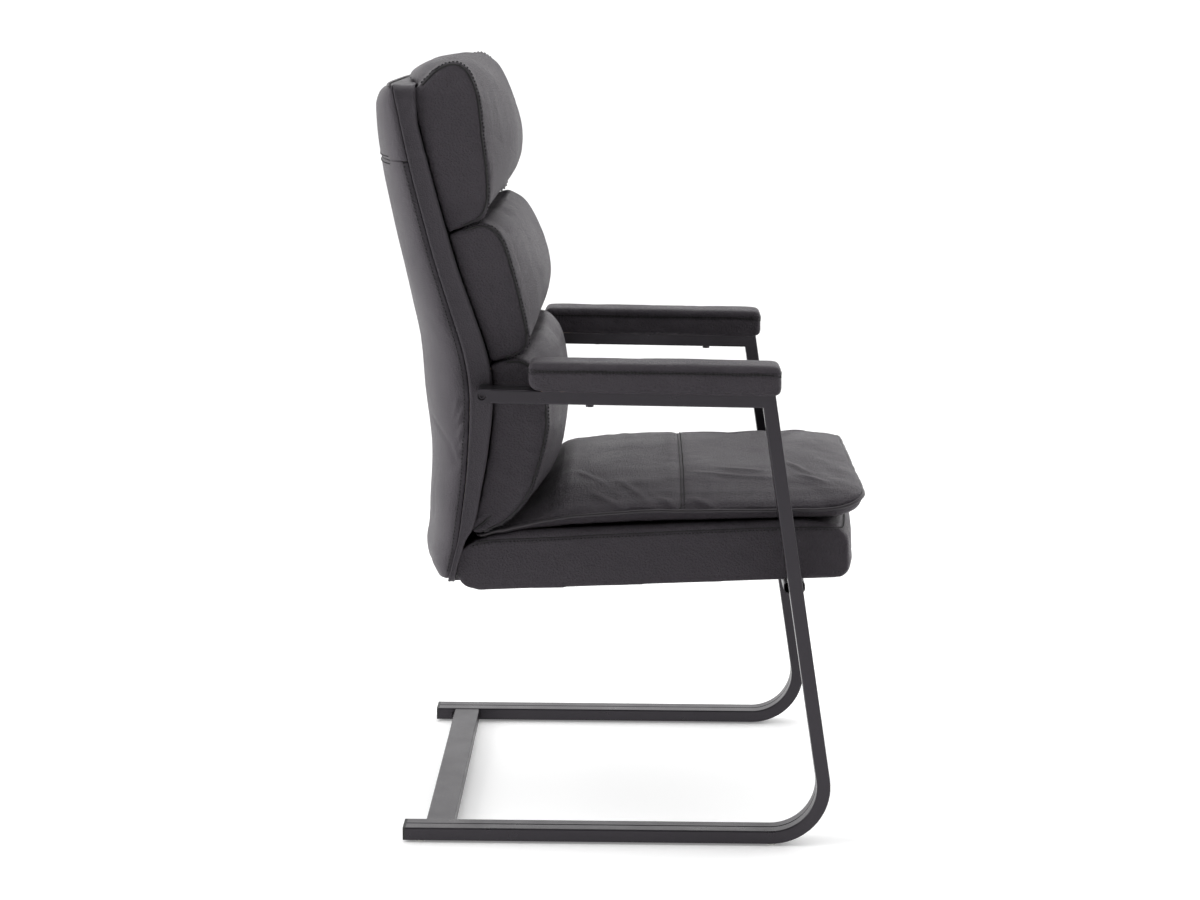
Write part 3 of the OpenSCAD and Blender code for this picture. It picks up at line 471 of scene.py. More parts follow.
@dataclass(frozen=True)
class Finishes:
    """Every finish on the chair, made once."""

    pebbled: bpy.types.Material
    smooth: bpy.types.Material
    piping: bpy.types.Material
    thread: bpy.types.Material
    lining: bpy.types.Material
    coat: bpy.types.Material
    zinc: bpy.types.Material
    plastic: bpy.types.Material
    glide: bpy.types.Material
    plywood: bpy.types.Material
    foam: bpy.types.Material

    @classmethod
    def make(cls) -> "Finishes":
        """Build all the materials."""
        return cls(
            pebbled=Leatherette().material(),
            smooth=Leatherette("smooth_leatherette", (0.0145, 0.0133, 0.0156), (0.0228, 0.0208, 0.0242),
                               520.0, 0.0005, (0.44, 0.56)).material(),
            piping=Leatherette("piping_leatherette", (0.010, 0.0096, 0.0099), (0.0165, 0.0158, 0.0163),
                               620.0, 0.0002, (0.38, 0.5)).material(),
            # Black thread, made darker than the leatherette with the painted shade of stitch holes; its cords
            # also paint the shade in seams' slits and the deepest folds
            thread=Plain("sewing_thread", (0.004, 0.004, 0.0042), (0.009, 0.0088, 0.009), 2400.0, 0.0002,
                         (0.55, 0.75)).material(),
            lining=Weave("black_lining", (0.006, 0.006, 0.006), (0.014, 0.014, 0.014), 500.0).material(),
            coat=PowderCoat().material(),
            zinc=Plain("zinc_plate", (0.38, 0.39, 0.41), (0.62, 0.63, 0.65), 320.0, 0.0001, (0.22, 0.4),
                       metal=1.0).material(),
            plastic=Plain("black_plastic", (0.010, 0.010, 0.0105), (0.019, 0.019, 0.0195), 700.0, 0.00015,
                          (0.45, 0.6)).material(),
            glide=Plain("milky_glide", (0.62, 0.62, 0.58), (0.82, 0.82, 0.78), 180.0, 0.0001, (0.3, 0.45),
                        clear=0.35).material(),
            plywood=Plain("plywood", (0.36, 0.22, 0.11), (0.62, 0.45, 0.26), 90.0, 0.0003, (0.55, 0.7),
                          stretch=(1.0, 0.12, 1.0)).material(),
            foam=Plain("cut_foam", (0.66, 0.58, 0.36), (0.84, 0.78, 0.58), 900.0, 0.0008,
                       (0.85, 0.95)).material(),
        )


def hand_over(piece: bpy.types.Object, finish: bpy.types.Material, nodes: Sequence[str] = ()) -> bpy.types.Object:
    """Finish a piece: its material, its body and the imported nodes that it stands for.

    Args:
        piece: the finished mesh.
        finish: the material.
        nodes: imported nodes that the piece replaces.

    Returns:
        The piece.
    """
    if not piece.data.materials:
        piece.data.materials.append(finish)
    piece.data.polygons.foreach_set("use_smooth", [True] * len(piece.data.polygons))
    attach(piece, BODY)
    if nodes:
        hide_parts(*nodes)
    LOG.info("%s: %d faces", piece.name, len(piece.data.polygons))
    return piece


def soft_copy(node: str, name: str, hollow: bool = False, sharp: float = 0.0) -> bpy.types.Object:
    """Copy a packed soft solid as one closed, welded form.

    Args:
        node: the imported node.
        name: the new piece's name.
        hollow: whether the node is a cover, of which only the outside is kept.
        sharp: how well the form's edges keep their place when it is rounded.

    Returns:
        The copy, closed across a cover's open underside.
    """
    mesh = frame["nodes"][node].data.copy()
    mesh.materials.clear()
    shape = bmesh.new()
    shape.from_mesh(mesh)
    bmesh.ops.remove_doubles(shape, verts=shape.verts, dist=2e-5)
    if hollow:
        low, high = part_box(node)
        centre = (low + high) / 2
        shape.normal_update()
        inside = [f for f in shape.faces if f.normal.dot(centre - f.calc_center_median()) > 0]
        bmesh.ops.delete(shape, geom=inside, context="FACES")
        bmesh.ops.holes_fill(shape, edges=shape.edges, sides=0)
    if sharp:
        crease = shape.edges.layers.float.new("crease_edge")
        for edge in shape.edges:
            if edge.is_manifold and edge.calc_face_angle() > SHARP_ANGLE:
                edge[crease] = sharp
    shape.to_mesh(mesh)
    shape.free()
    piece = bpy.data.objects.new(name, mesh)
    bpy.context.scene.collection.objects.link(piece)
    return piece


def evened(piece: bpy.types.Object, move: np.ndarray, rounds: int) -> np.ndarray:
    """Even out a movement of a piece's points over its surface.

    Args:
        piece: the piece.
        move: how far each point moves.
        rounds: how often neighbours share their movement.

    Returns:
        The smoother movement.
    """
    ends = np.empty(len(piece.data.edges) * 2, int)
    piece.data.edges.foreach_get("vertices", ends)
    ends = np.concatenate([ends.reshape(-1, 2), ends.reshape(-1, 2)[:, ::-1]])
    ways = np.bincount(ends[:, 0], minlength=len(move))[:, None]
    for _ in range(rounds):
        around = np.stack([np.bincount(ends[:, 0], move[ends[:, 1], c], len(move)) for c in range(3)], axis=1)
        move = (move + around / ways) / 2
    return move


def keep_outside(piece: bpy.types.Object, node: str, gap: float) -> None:
    """Move a cover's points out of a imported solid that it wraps, and a gap away from it."""
    tree = BVHTree.FromObject(frame["nodes"][node], bpy.context.evaluated_depsgraph_get())
    points = read_points(piece)
    for i, point in enumerate(points):
        hit, normal, _, distance = tree.find_nearest(Vector(point), 0.03)
        if hit is not None:
            away = Vector(point) - hit
            inside = away.dot(normal) < -0.5 * distance
            if inside or distance < gap:
                away = -away if inside else away
                points[i] = hit + (away.normalized() if distance > 1e-5 else normal) * gap
    write_points(piece, points)


@dataclass(frozen=True)
class Stuffing:
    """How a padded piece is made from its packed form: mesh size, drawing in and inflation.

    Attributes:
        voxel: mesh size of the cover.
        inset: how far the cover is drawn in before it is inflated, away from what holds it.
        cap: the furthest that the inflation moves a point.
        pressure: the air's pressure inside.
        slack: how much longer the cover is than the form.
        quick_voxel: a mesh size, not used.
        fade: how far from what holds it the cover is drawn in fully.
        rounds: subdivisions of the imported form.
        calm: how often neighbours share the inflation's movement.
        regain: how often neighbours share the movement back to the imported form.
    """

    voxel: float = 0.005
    inset: float = 0.003
    cap: float = 0.0038
    pressure: float = 4.0
    slack: float = 0.01
    quick_voxel: float = 0.008
    fade: float = 0.03
    rounds: int = 2
    calm: int = 12
    regain: int = 5

    def stuff(self, piece: bpy.types.Object, held: Callable[[np.ndarray], np.ndarray]) -> None:
        """Remesh a form, draw it in, inflate its cover and refine it.

        Args:
            piece: the closed form.
            held: tells which points the seams and boards hold still.
        """
        corners = [tuple(p.vertices) for p in piece.data.polygons]
        form = BVHTree.FromPolygons(read_points(piece).tolist(), corners)
        if self.rounds:
            modify(piece, "SUBSURF", levels=self.rounds, render_levels=self.rounds)
        modify(piece, "REMESH", mode="VOXEL", voxel_size=self.voxel)
        modify(piece, "SMOOTH", factor=0.5, iterations=3)
        for _ in range(2):
            points = read_points(piece)
            lost = np.array([tuple(form.find_nearest(Vector(p))[0]) for p in points]) - points
            write_points(piece, points + evened(piece, lost, self.regain))
        points = read_points(piece)
        fixed = held(points)
        tree = sorted_points(points[fixed])
        free = np.clip([tree.find(p)[2] / self.fade for p in points], 0, 1)
        write_points(piece, points - read_normals(piece) * (self.inset * eased(free))[:, None])
        self.inflate(piece, fixed)
        modify(piece, "SUBSURF", levels=1, render_levels=1)

    def inflate(self, piece: bpy.types.Object, held: np.ndarray) -> None:
        """Blow the cover up as cloth for some frames, and keep its movement up to the cap."""
        start = read_points(piece)
        group = piece.vertex_groups.new(name="held")
        group.add([int(i) for i in np.flatnonzero(held)], 1.0, "REPLACE")
        cloth = piece.modifiers.new("Cloth", "CLOTH")
        rules = cloth.settings
        rules.quality = 5
        rules.mass = 0.25
        rules.tension_stiffness = rules.compression_stiffness = 12
        rules.shear_stiffness = 6
        rules.bending_stiffness = 1.5
        rules.use_pressure = True
        rules.uniform_pressure_force = self.pressure
        rules.shrink_min = -self.slack
        rules.vertex_group_mass = group.name
        rules.effector_weights.gravity = 0
        cloth.collision_settings.use_collision = False
        cloth.point_cache.frame_start = 1
        cloth.point_cache.frame_end = CLOTH_FRAMES
        for number in range(1, CLOTH_FRAMES + 1):
            bpy.context.scene.frame_set(number)
        blown = piece.evaluated_get(bpy.context.evaluated_depsgraph_get())
        end = np.empty(len(start) * 3)
        blown.data.vertices.foreach_get("co", end)
        move = evened(piece, end.reshape(-1, 3) - start, self.calm)
        reach = np.maximum(np.linalg.norm(move, axis=1, keepdims=True), 1e-9)
        piece.modifiers.remove(cloth)
        piece.vertex_groups.remove(group)
        bpy.context.scene.frame_set(1)
        write_points(piece, start + move / reach * self.cap * np.tanh(reach / self.cap))


@dataclass(frozen=True)
class Seam:
    """A sewn line that pulls the cover in, with the gathers beside it.

    Attributes:
        width: half width of the groove.
        depth: depth of the groove.
        gather: height of the gathers.
        reach: how far they run out from the seam.
        pitch: their spacing along it.
        seed: the start of their random pattern.
    """

    width: float = 0.0035
    depth: float = 0.002
    gather: float = 0.0009
    reach: float = 0.028
    pitch: float = 0.016
    seed: float = 0.0

    def press(self, piece: bpy.types.Object, path: np.ndarray,
              where: Callable[[np.ndarray], np.ndarray] | None = None) -> None:
        """Press the seam into a piece along a path, and its gathers as strong as where says."""
        path = resample(path, SEAM_STEP)
        length = np.arange(len(path)) * SEAM_STEP
        tree = sorted_points(path)
        points = read_points(piece)
        share = np.ones(len(points)) if where is None else where(points)
        shift = np.zeros(len(points))
        for i, point in enumerate(points):
            _, at, gap = tree.find(point)
            if gap < 3 * self.reach:
                fold = noise.noise((length[at] / self.pitch, self.seed, gap / self.reach * 0.6))
                pull = math.exp(-(gap / self.width) ** 2)
                shift[i] = share[i] * self.gather * fold * math.exp(-gap / self.reach) - self.depth * pull
        write_points(piece, points + read_normals(piece) * shift[:, None])


def fold_cover(piece: bpy.types.Object, start: np.ndarray, end: np.ndarray, height: float,
               width: float = 0.0045) -> None:
    """Raise one soft fold of the cover, or press one in, that fades towards its ends.

    Args:
        piece: the cover.
        start: where the fold begins, near the surface.
        end: where it ends.
        height: its height, negative for a groove.
        width: its half width.
    """
    points = read_points(piece)
    along = end - start
    share = np.clip(((points - start) @ along) / (along @ along), 0, 1)
    gap = np.linalg.norm(points - start - share[:, None] * along, axis=1) / width
    arch = np.sin(math.pi * (0.08 + 0.84 * share))
    crest = 1.35 * np.exp(-gap ** 2) - 0.35 * np.exp(-(gap / 2.4) ** 2)
    write_points(piece, points + read_normals(piece) * (height * arch * crest)[:, None])


@dataclass(frozen=True)
class Creases:
    """Soft unevenness and sharp folds of a used cover.

    Attributes:
        fold: depth of the sharp folds.
        size: their spacing along each axis.
        swell: height of the soft swells.
        swell_size: their size.
        seed: the start of their random pattern.
    """

    fold: float = 0.0008
    size: tuple = (0.05, 0.05, 0.05)
    swell: float = 0.0012
    swell_size: float = 0.09
    seed: float = 0.0

    def press(self, piece: bpy.types.Object,
              where: Callable[[np.ndarray], np.ndarray] | None = None) -> None:
        """Press folds and swells into a piece, as strong as where says at each point."""
        points = read_points(piece)
        share = np.ones(len(points)) if where is None else where(points)
        size = np.array(self.size)
        shift = np.zeros(len(points))
        small, large = points / size + self.seed, points / self.swell_size - self.seed
        for i, (near, far) in enumerate(zip(small, large)):
            if share[i] > 0.01:
                line = noise.noise(near + 0.35 * np.array(noise.noise_vector(near * 0.7)))
                groove = math.exp(-(line / 0.09) ** 2)
                shift[i] = share[i] * (self.swell * noise.noise(far) - self.fold * groove)
        write_points(piece, points + read_normals(piece) * shift[:, None])


@dataclass(frozen=True)
class Stitches:
    """A row of short thread stitches that lies on a cover."""

    pitch: float = 0.0052
    length: float = 0.0037
    radius: float = 0.00085
    proud: float = 0.55

    def sew(self, name: str, paths: Sequence[np.ndarray], piece: bpy.types.Object,
            finish: bpy.types.Material) -> bpy.types.Object:
        """Sew rows of stitches along paths on a piece.

        Args:
            name: the new piece's name.
            paths: the rows' lines, near the surface.
            piece: the cover.
            finish: the thread, darker than the cover with the painted shade of its holes.

        Returns:
            All the stitches as one mesh.
        """
        deselect()
        bpy.ops.mesh.primitive_ico_sphere_add(subdivisions=1, radius=1)
        pattern = bpy.context.active_object
        shape = read_points(pattern) * (self.length / 2, self.radius, self.radius)
        corners = np.array([tuple(p.vertices) for p in pattern.data.polygons])
        bpy.data.objects.remove(pattern)
        tree = BVHTree.FromObject(piece, bpy.context.evaluated_depsgraph_get())
        points, faces = [], []
        for path in paths:
            line = resample(lay_on(resample(path, 0.003), piece, smooth=2), self.pitch)
            for here, there in zip(line[:-1], line[1:]):
                middle = Vector((here + there) / 2)
                hit, normal, _, _ = tree.find_nearest(middle)
                along = Vector(there - here).normalized()
                across = normal.cross(along).normalized()
                turn = Matrix((along, across, along.cross(across))).transposed()
                faces.extend(corners + len(points) * len(shape))
                points.append(shape @ np.array(turn).T + np.array(hit + normal * self.radius * self.proud))
        stitched = new_piece(name, np.concatenate(points), [tuple(int(i) for i in f) for f in faces])
        return hand_over(stitched, finish)


def slit_shade_line(name: str, path: np.ndarray, piece: bpy.types.Object, finish: bpy.types.Material) -> None:
    """Draw the slit of a seam as painted shade: a thin dark cord of thread, half sunk into the cover.

    Args:
        name: the new piece's name.
        path: the seam's line, near the surface.
        piece: the cover.
        finish: the thread, which here paints the shade in the slit.
    """
    hand_over(tube(name, lay_on(path, piece, lift=0.0001, smooth=3), SLIT_SHADE_RADIUS), finish)


def side_ring(node: str, side: int) -> np.ndarray:
    """Give the outline of a roll's flat side panel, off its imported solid, without its rear edge.

    Args:
        node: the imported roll.
        side: -1 for the sitter's right, 1 for the left.

    Returns:
        The outline from its lower rear end over the front to its upper rear end.
    """
    points = np.unique(np.round(read_points(frame["nodes"][node]), 5), axis=0)
    edge = points[:, 0] * side
    ring = points[edge > edge.max() - 1e-4]
    ring = ring[ring[:, 1] < band_front(ring[:, 2]) - 0.0015]
    middle = (ring.min(0) + ring.max(0)) / 2
    turn = np.arctan2(ring[:, 2] - middle[2], middle[1] - ring[:, 1])
    ring = ring[np.argsort(turn)]
    inner = np.linalg.norm(ring - middle, axis=1) > 0.02
    return ring[inner]


@dataclass(frozen=True)
class BackRoll:
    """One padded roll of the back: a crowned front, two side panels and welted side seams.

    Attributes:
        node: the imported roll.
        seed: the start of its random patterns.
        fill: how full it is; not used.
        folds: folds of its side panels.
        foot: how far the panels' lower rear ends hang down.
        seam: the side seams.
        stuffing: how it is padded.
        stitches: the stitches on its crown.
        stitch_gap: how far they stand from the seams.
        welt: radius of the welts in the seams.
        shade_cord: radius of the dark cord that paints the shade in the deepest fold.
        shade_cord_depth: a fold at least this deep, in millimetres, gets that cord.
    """

    node: str
    seed: float
    fill: float
    folds: Sequence = ()
    foot: float = 0.0
    seam: Seam = Seam(width=0.0030, depth=0.0018, gather=0.0019, reach=0.026, pitch=0.0115)
    stuffing: Stuffing = Stuffing(inset=0.0024, regain=3)
    stitches: Stitches = Stitches(radius=0.001)
    stitch_gap: float = 0.005
    welt: float = 0.0013
    shade_cord: float = 0.0011
    shade_cord_depth: float = 2.0

    def gathered(self, points: np.ndarray) -> np.ndarray:
        """Tell where the cover gathers: on the crown, and less on the side panels."""
        return np.where(np.abs(points[:, 0]) < SIDE_PANEL - 0.0025, 1.0, 0.9 if self.folds else 0.2)

    def hung(self, points: np.ndarray) -> np.ndarray:
        """Let the lower rear ends of the side panels hang onto the cushion, and give the moved points."""
        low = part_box(self.node)[0].z
        rear = ramp(points[:, 1], 0.12, 0.06)
        outer = ramp(np.abs(points[:, 0]), 0.17, 0.06)
        drop = self.foot * eased(rear * ramp(points[:, 2], low + 0.06, -0.045) * outer)
        return points + np.column_stack([np.zeros(len(points)), drop * 0.45, -drop])

    def fold_panels(self, piece: bpy.types.Object, finishes: Finishes) -> None:
        """Fold both side panels, and lay a dark cord into the deepest fold as painted shade in its crease."""
        for side in SIDES:
            for start, end, height in self.folds:
                start, end = (np.array((side * SIDE_PANEL, *place)) for place in millimetres((start, end)))
                fold_cover(piece, start, end, height * 0.001, 0.0035)
                # The deepest fold gets a dark cord: painted shade in its crease
                if height < -self.shade_cord_depth:
                    line = lay_on(np.linspace(start, end, 12), piece, smooth=2)
                    cord = tube(f"{self.node}_tuck_{side_word(side)}", line, self.shade_cord)
                    hand_over(cord, finishes.thread)

    def build(self, finishes: Finishes) -> bpy.types.Object:
        """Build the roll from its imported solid, with its seams, welts and stitches."""
        piece = soft_copy(self.node, self.node + "_cover", sharp=0.85)
        rings = [side_ring(self.node, side) for side in SIDES]
        tree = sorted_points(np.concatenate(rings))
        self.stuffing.stuff(piece, lambda points: self.held(points, tree))
        write_points(piece, self.hung(read_points(piece)))
        lines = [lay_on(resample(self.hung(ring), PATH_STEP), piece, smooth=16) for ring in rings]
        for line in lines:
            replace(self.seam, seed=self.seed).press(piece, line, self.gathered)
        Creases(fold=0.0003, size=(0.085, 0.05, 0.05), swell=0.0014, swell_size=0.075,
                seed=self.seed).press(piece)
        self.fold_panels(piece, finishes)
        for side, line in zip(SIDES, lines):
            welt = tube(f"{self.node}_welt_{side_word(side)}", lay_on(line, piece, lift=0.0003), self.welt)
            hand_over(welt, finishes.thread)
        rows = [line - (side * self.stitch_gap, 0, 0) for side, line in zip(SIDES, lines)]
        self.stitches.sew(self.node + "_stitching", rows, piece, finishes.thread)
        return hand_over(piece, finishes.pebbled, [self.node])

    def held(self, points: np.ndarray, tree: KDTree) -> np.ndarray:
        """Tell which points the side seams and the back hold still."""
        near = np.array([tree.find(p)[2] < 0.007 for p in points])
        return near | (points[:, 1] > band_front(points[:, 2]) - 0.012)


@dataclass(frozen=True)
class SeatCushion:
    """The loose seat cushion: crowned top, piped edge and one seam across.

    Attributes:
        width: its width with the piping, as packed.
        front: depth of its front edge.
        rear: depth of its rear edge.
        inset: how far its edge lies inside that width.
        front_round: radius of the front corners.
        rear_round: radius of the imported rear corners.
        pull: how far the sides bow inwards.
        seam_at: depth of the cross seam.
        settle: the share of its height that the crown has lost, as [depth, share].
        piping: radius of the piping.
        rear_drop: how far the rear edge hangs down.
        drawn_round: radius of the rear corners once they are drawn out.
        stitch_gap: how far the stitches stand from the cross seam.
        level: height of the edge beside that seam.
    """

    width: float = 0.5
    front: float = -0.343
    rear: float = 0.198
    inset: float = 0.004
    front_round: float = 0.040
    rear_round: float = 0.024
    pull: float = 0.005
    seam_at: float = -0.088
    settle: tuple = ((-0.343, 0.05), (-0.3, 0.16), (-0.21, 0.17), (-0.15, 0.18), (-0.12, 0.165),
                     (-0.088, 0.135), (-0.06, 0.185), (-0.03, 0.178), (0.0, 0.165), (0.03, 0.144),
                     (0.06, 0.085), (0.085, -0.05), (0.11, -0.11), (0.198, -0.11))
    piping: float = 0.00275
    rear_drop: float = 0.004
    drawn_round: float = 0.008
    stitch_gap: float = 0.0042
    level: float = 0.475

    def half_width(self, y: float, out: float) -> float:
        """Give half the cushion's width at one depth, some way outside its edge."""
        share = (2 * y - self.front - self.rear) / (self.rear - self.front)
        losses = []
        for gap, corner in ((y - self.front + out, self.front_round + out),
                            (self.rear + out - y, self.rear_round + out)):
            fall = max(0.0, corner - gap)
            losses.append(corner - math.sqrt(max(0.0, corner ** 2 - fall ** 2)))
        return self.width / 2 - self.inset + out - self.pull * max(0.0, 1 - share ** 2) - max(losses)

    def squared(self, points: np.ndarray) -> np.ndarray:
        """Draw the rear corners out under the rolls, and give the moved points."""
        ys = np.linspace(self.rear - self.rear_round, self.rear, 60)
        packed = np.array([self.half_width(y, 0.0) for y in ys])
        gaps = np.clip(self.drawn_round - (self.rear - ys), 0, None)
        drawn = self.width / 2 - self.inset - self.drawn_round + np.sqrt(self.drawn_round ** 2 - gaps ** 2)
        wider = np.interp(points[:, 1], ys, drawn / packed)
        return points * np.column_stack([wider, np.ones((len(points), 2))])

    def edge(self, out: float) -> np.ndarray:
        """Give the loop along the cushion's edge, some way outside it."""
        turns = 0.5 - 0.5 * np.cos(np.linspace(0, math.pi, 90))
        ys = self.front - out + (self.rear - self.front + 2 * out) * turns
        heights = flow(millimetres(EDGE_LINE), ys)
        side = np.array([(self.half_width(y, out), y, z) for y, z in zip(ys, heights)])
        other = side[::-1] * (-1, 1, 1)
        return np.concatenate([side, other, side[:1]])

    def build(self, finishes: Finishes) -> bpy.types.Object:
        """Build the cushion, its piping, its cross seam and its stitches."""
        piece = soft_copy("seat_cushion", "seat_cushion_cover", sharp=0.8)
        rim = resample(self.edge(0.0), PATH_STEP)
        tree = sorted_points(rim)
        Stuffing(inset=0.0005, cap=0.003, slack=0.011, regain=3).stuff(
            piece, lambda points: self.held(points, tree))
        self.let_settle(piece)
        rim = self.squared(rim)
        end = self.width / 2 - self.inset - 0.0025
        across = np.array([(x, self.seam_at, self.level) for x in np.linspace(-end, end, 120)])
        top = drop_on(across, piece)
        Seam(depth=0.0014, width=0.0026, gather=0.0013, reach=0.026, pitch=0.017, seed=3.3).press(piece, top)
        Seam(depth=0.0002, width=0.004, gather=0.0011, reach=0.036, pitch=0.024, seed=8.1).press(piece, rim)
        Creases(fold=0.0005, size=(0.09, 0.07, 0.08), swell=0.0022, swell_size=0.085, seed=5.7).press(
            piece, self.slack)
        for side in SIDES:
            for start, end, height in CUSHION_FOLDS:
                line = drop_on([(-side * x, y, self.level) for x, y in millimetres((start, end))], piece)
                fold_cover(piece, *line, height * 0.0014, 0.006)
        path = self.squared(resample(self.edge(self.piping), PATH_STEP)[:-1])
        path = lay_on(path, piece, lift=self.piping * 0.5, smooth=4)
        wave = np.array([noise.noise_vector(p / 0.05 + np.array((4.0, 0, 0))) for p in path])
        cord = tube("seat_cushion_piping_cord", path + wave * 0.0008, self.piping, closed=True)
        hand_over(cord, finishes.piping, ["seat_cushion_piping"])
        # A dark cord paints the shade in the cross seam's slit
        slit_shade_line("seat_cushion_seam", drop_on(across, piece), piece, finishes.thread)
        Stitches().sew("seat_cushion_stitching", [top - (0, self.stitch_gap, 0)], piece, finishes.thread)
        return hand_over(piece, finishes.pebbled, ["seat_cushion"])

    def let_settle(self, piece: bpy.types.Object) -> None:
        """Draw the rear corners out, and lower the crown and the rear edge to where they have settled."""
        points = self.squared(read_points(piece))
        rise = np.clip(points[:, 2] - flow(millimetres(EDGE_LINE), points[:, 1]), 0, None)
        hang = self.rear_drop * ramp(points[:, 1], 0.14, 0.05)
        points[:, 2] -= rise * flow(self.settle, points[:, 1]) + hang
        write_points(piece, points)

    def held(self, points: np.ndarray, tree: KDTree) -> np.ndarray:
        """Tell which points the piped edge and the base hold still."""
        near = np.array([tree.find(p)[2] < 0.008 for p in points])
        under = points[:, 2] < flow(millimetres(EDGE_LINE), points[:, 1]) - 0.012
        return near | under

    def slack(self, points: np.ndarray) -> np.ndarray:
        """Tell where the cover lies loose: on top, and most near the sides."""
        top = points[:, 2] > flow(millimetres(EDGE_LINE), points[:, 1]) + 0.004
        side = ramp(np.abs(points[:, 0]), 0, self.width / 2) ** 2
        return top * (0.45 + 0.55 * side)


@dataclass(frozen=True)
class SeatBase:
    """The padded base under the cushion, with the seam along its sides and its front.

    Attributes:
        half: half its width.
        front_bow: how far its front bows out.
        strip: the padding's rise along the top of its sides, as [distance from the side, rise] in
            millimetres.
        rear_swell: how much longer its rear end is.
        stitch_drop: how far the stitches stand below the seam.
        hem: how far the lining ends inside the sides.
        lining_front: depth of the lining's front end.
        lining_rear: depth of its rear end.
    """

    half: float = 0.25
    front_bow: float = 0.018
    strip: tuple = ((0, 0.5), (3, 4), (8, 8), (15, 8.5), (28, 6), (45, 3.5), (75, 0))
    rear_swell: float = 0.0025
    stitch_drop: float = 0.0034
    hem: float = 0.012
    lining_front: float = -0.3
    lining_rear: float = 0.19

    def pad_edges(self, piece: bpy.types.Object, low: float) -> None:
        """Swell the padding along the top of the sides, which shows under the cushion, and the rear end."""
        points = read_points(piece)
        y = points[:, 1]
        rise = flow(millimetres(self.strip), np.clip(self.half - np.abs(points[:, 0]), 0, None))
        upper = ramp(points[:, 2], low + 0.05, 0.02)
        points[:, 2] += rise * upper * ramp(y, -0.31, 0.05) * ramp(y, 0.187, -0.05)
        points[:, 1] += self.rear_swell * eased(ramp(y, 0.19, 0.03))
        write_points(piece, points)

    def build(self, finishes: Finishes) -> bpy.types.Object:
        """Build the base's cover, its seam, its stitches and the lining beneath."""
        piece = soft_copy("seat_base_cover", "seat_base_upholstery", hollow=True)
        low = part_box("seat_base_cover")[0].z
        Stuffing(inset=0.0008, cap=0.0012, rounds=0, regain=2).stuff(
            piece, lambda points: points[:, 2] < low + 0.03)
        self.pad_edges(piece, low)
        side = np.array([(0, y, z) for y, z in millimetres(BASE_SEAM)])
        right, left = side - (self.half, 0, 0), (side + (self.half, 0, 0))[::-1]
        xs = np.linspace(-self.half, self.half, 25)[1:-1]
        bow = self.front_bow * (1 - (xs / self.half) ** 2)
        front = np.column_stack([xs, right[-1, 1] - 0.006 - bow, np.full(len(xs), right[-1, 2])])
        seam = lay_on(resample(np.concatenate([right, front, left]), PATH_STEP), piece, smooth=12)
        Seam(depth=0.0012, width=0.0026, gather=0.0006, reach=0.022, pitch=0.018, seed=1.4).press(piece, seam)
        Creases(fold=0.0003, size=(0.09, 0.09, 0.05), swell=0.0009, swell_size=0.08, seed=2.2).press(piece)
        keep_outside(piece, "seat_board", 0.0018)
        # A dark cord paints the shade in the seam's slit
        slit_shade_line("seat_base_seam", seam, piece, finishes.thread)
        Stitches().sew("seat_base_stitching", [seam - (0, 0, self.stitch_drop)], piece, finishes.thread)
        piece.data.materials.append(finishes.pebbled)
        piece.data.materials.append(finishes.lining)
        for face in piece.data.polygons:
            middle = face.center
            flat = face.normal.z < -0.9 and abs(middle.x) < self.half - self.hem
            face.material_index = int(flat and self.lining_front < middle.y < self.lining_rear)
        return hand_over(piece, finishes.pebbled,
                         ["seat_base_cover", "seat_base_foam", "seat_dust_cover"])


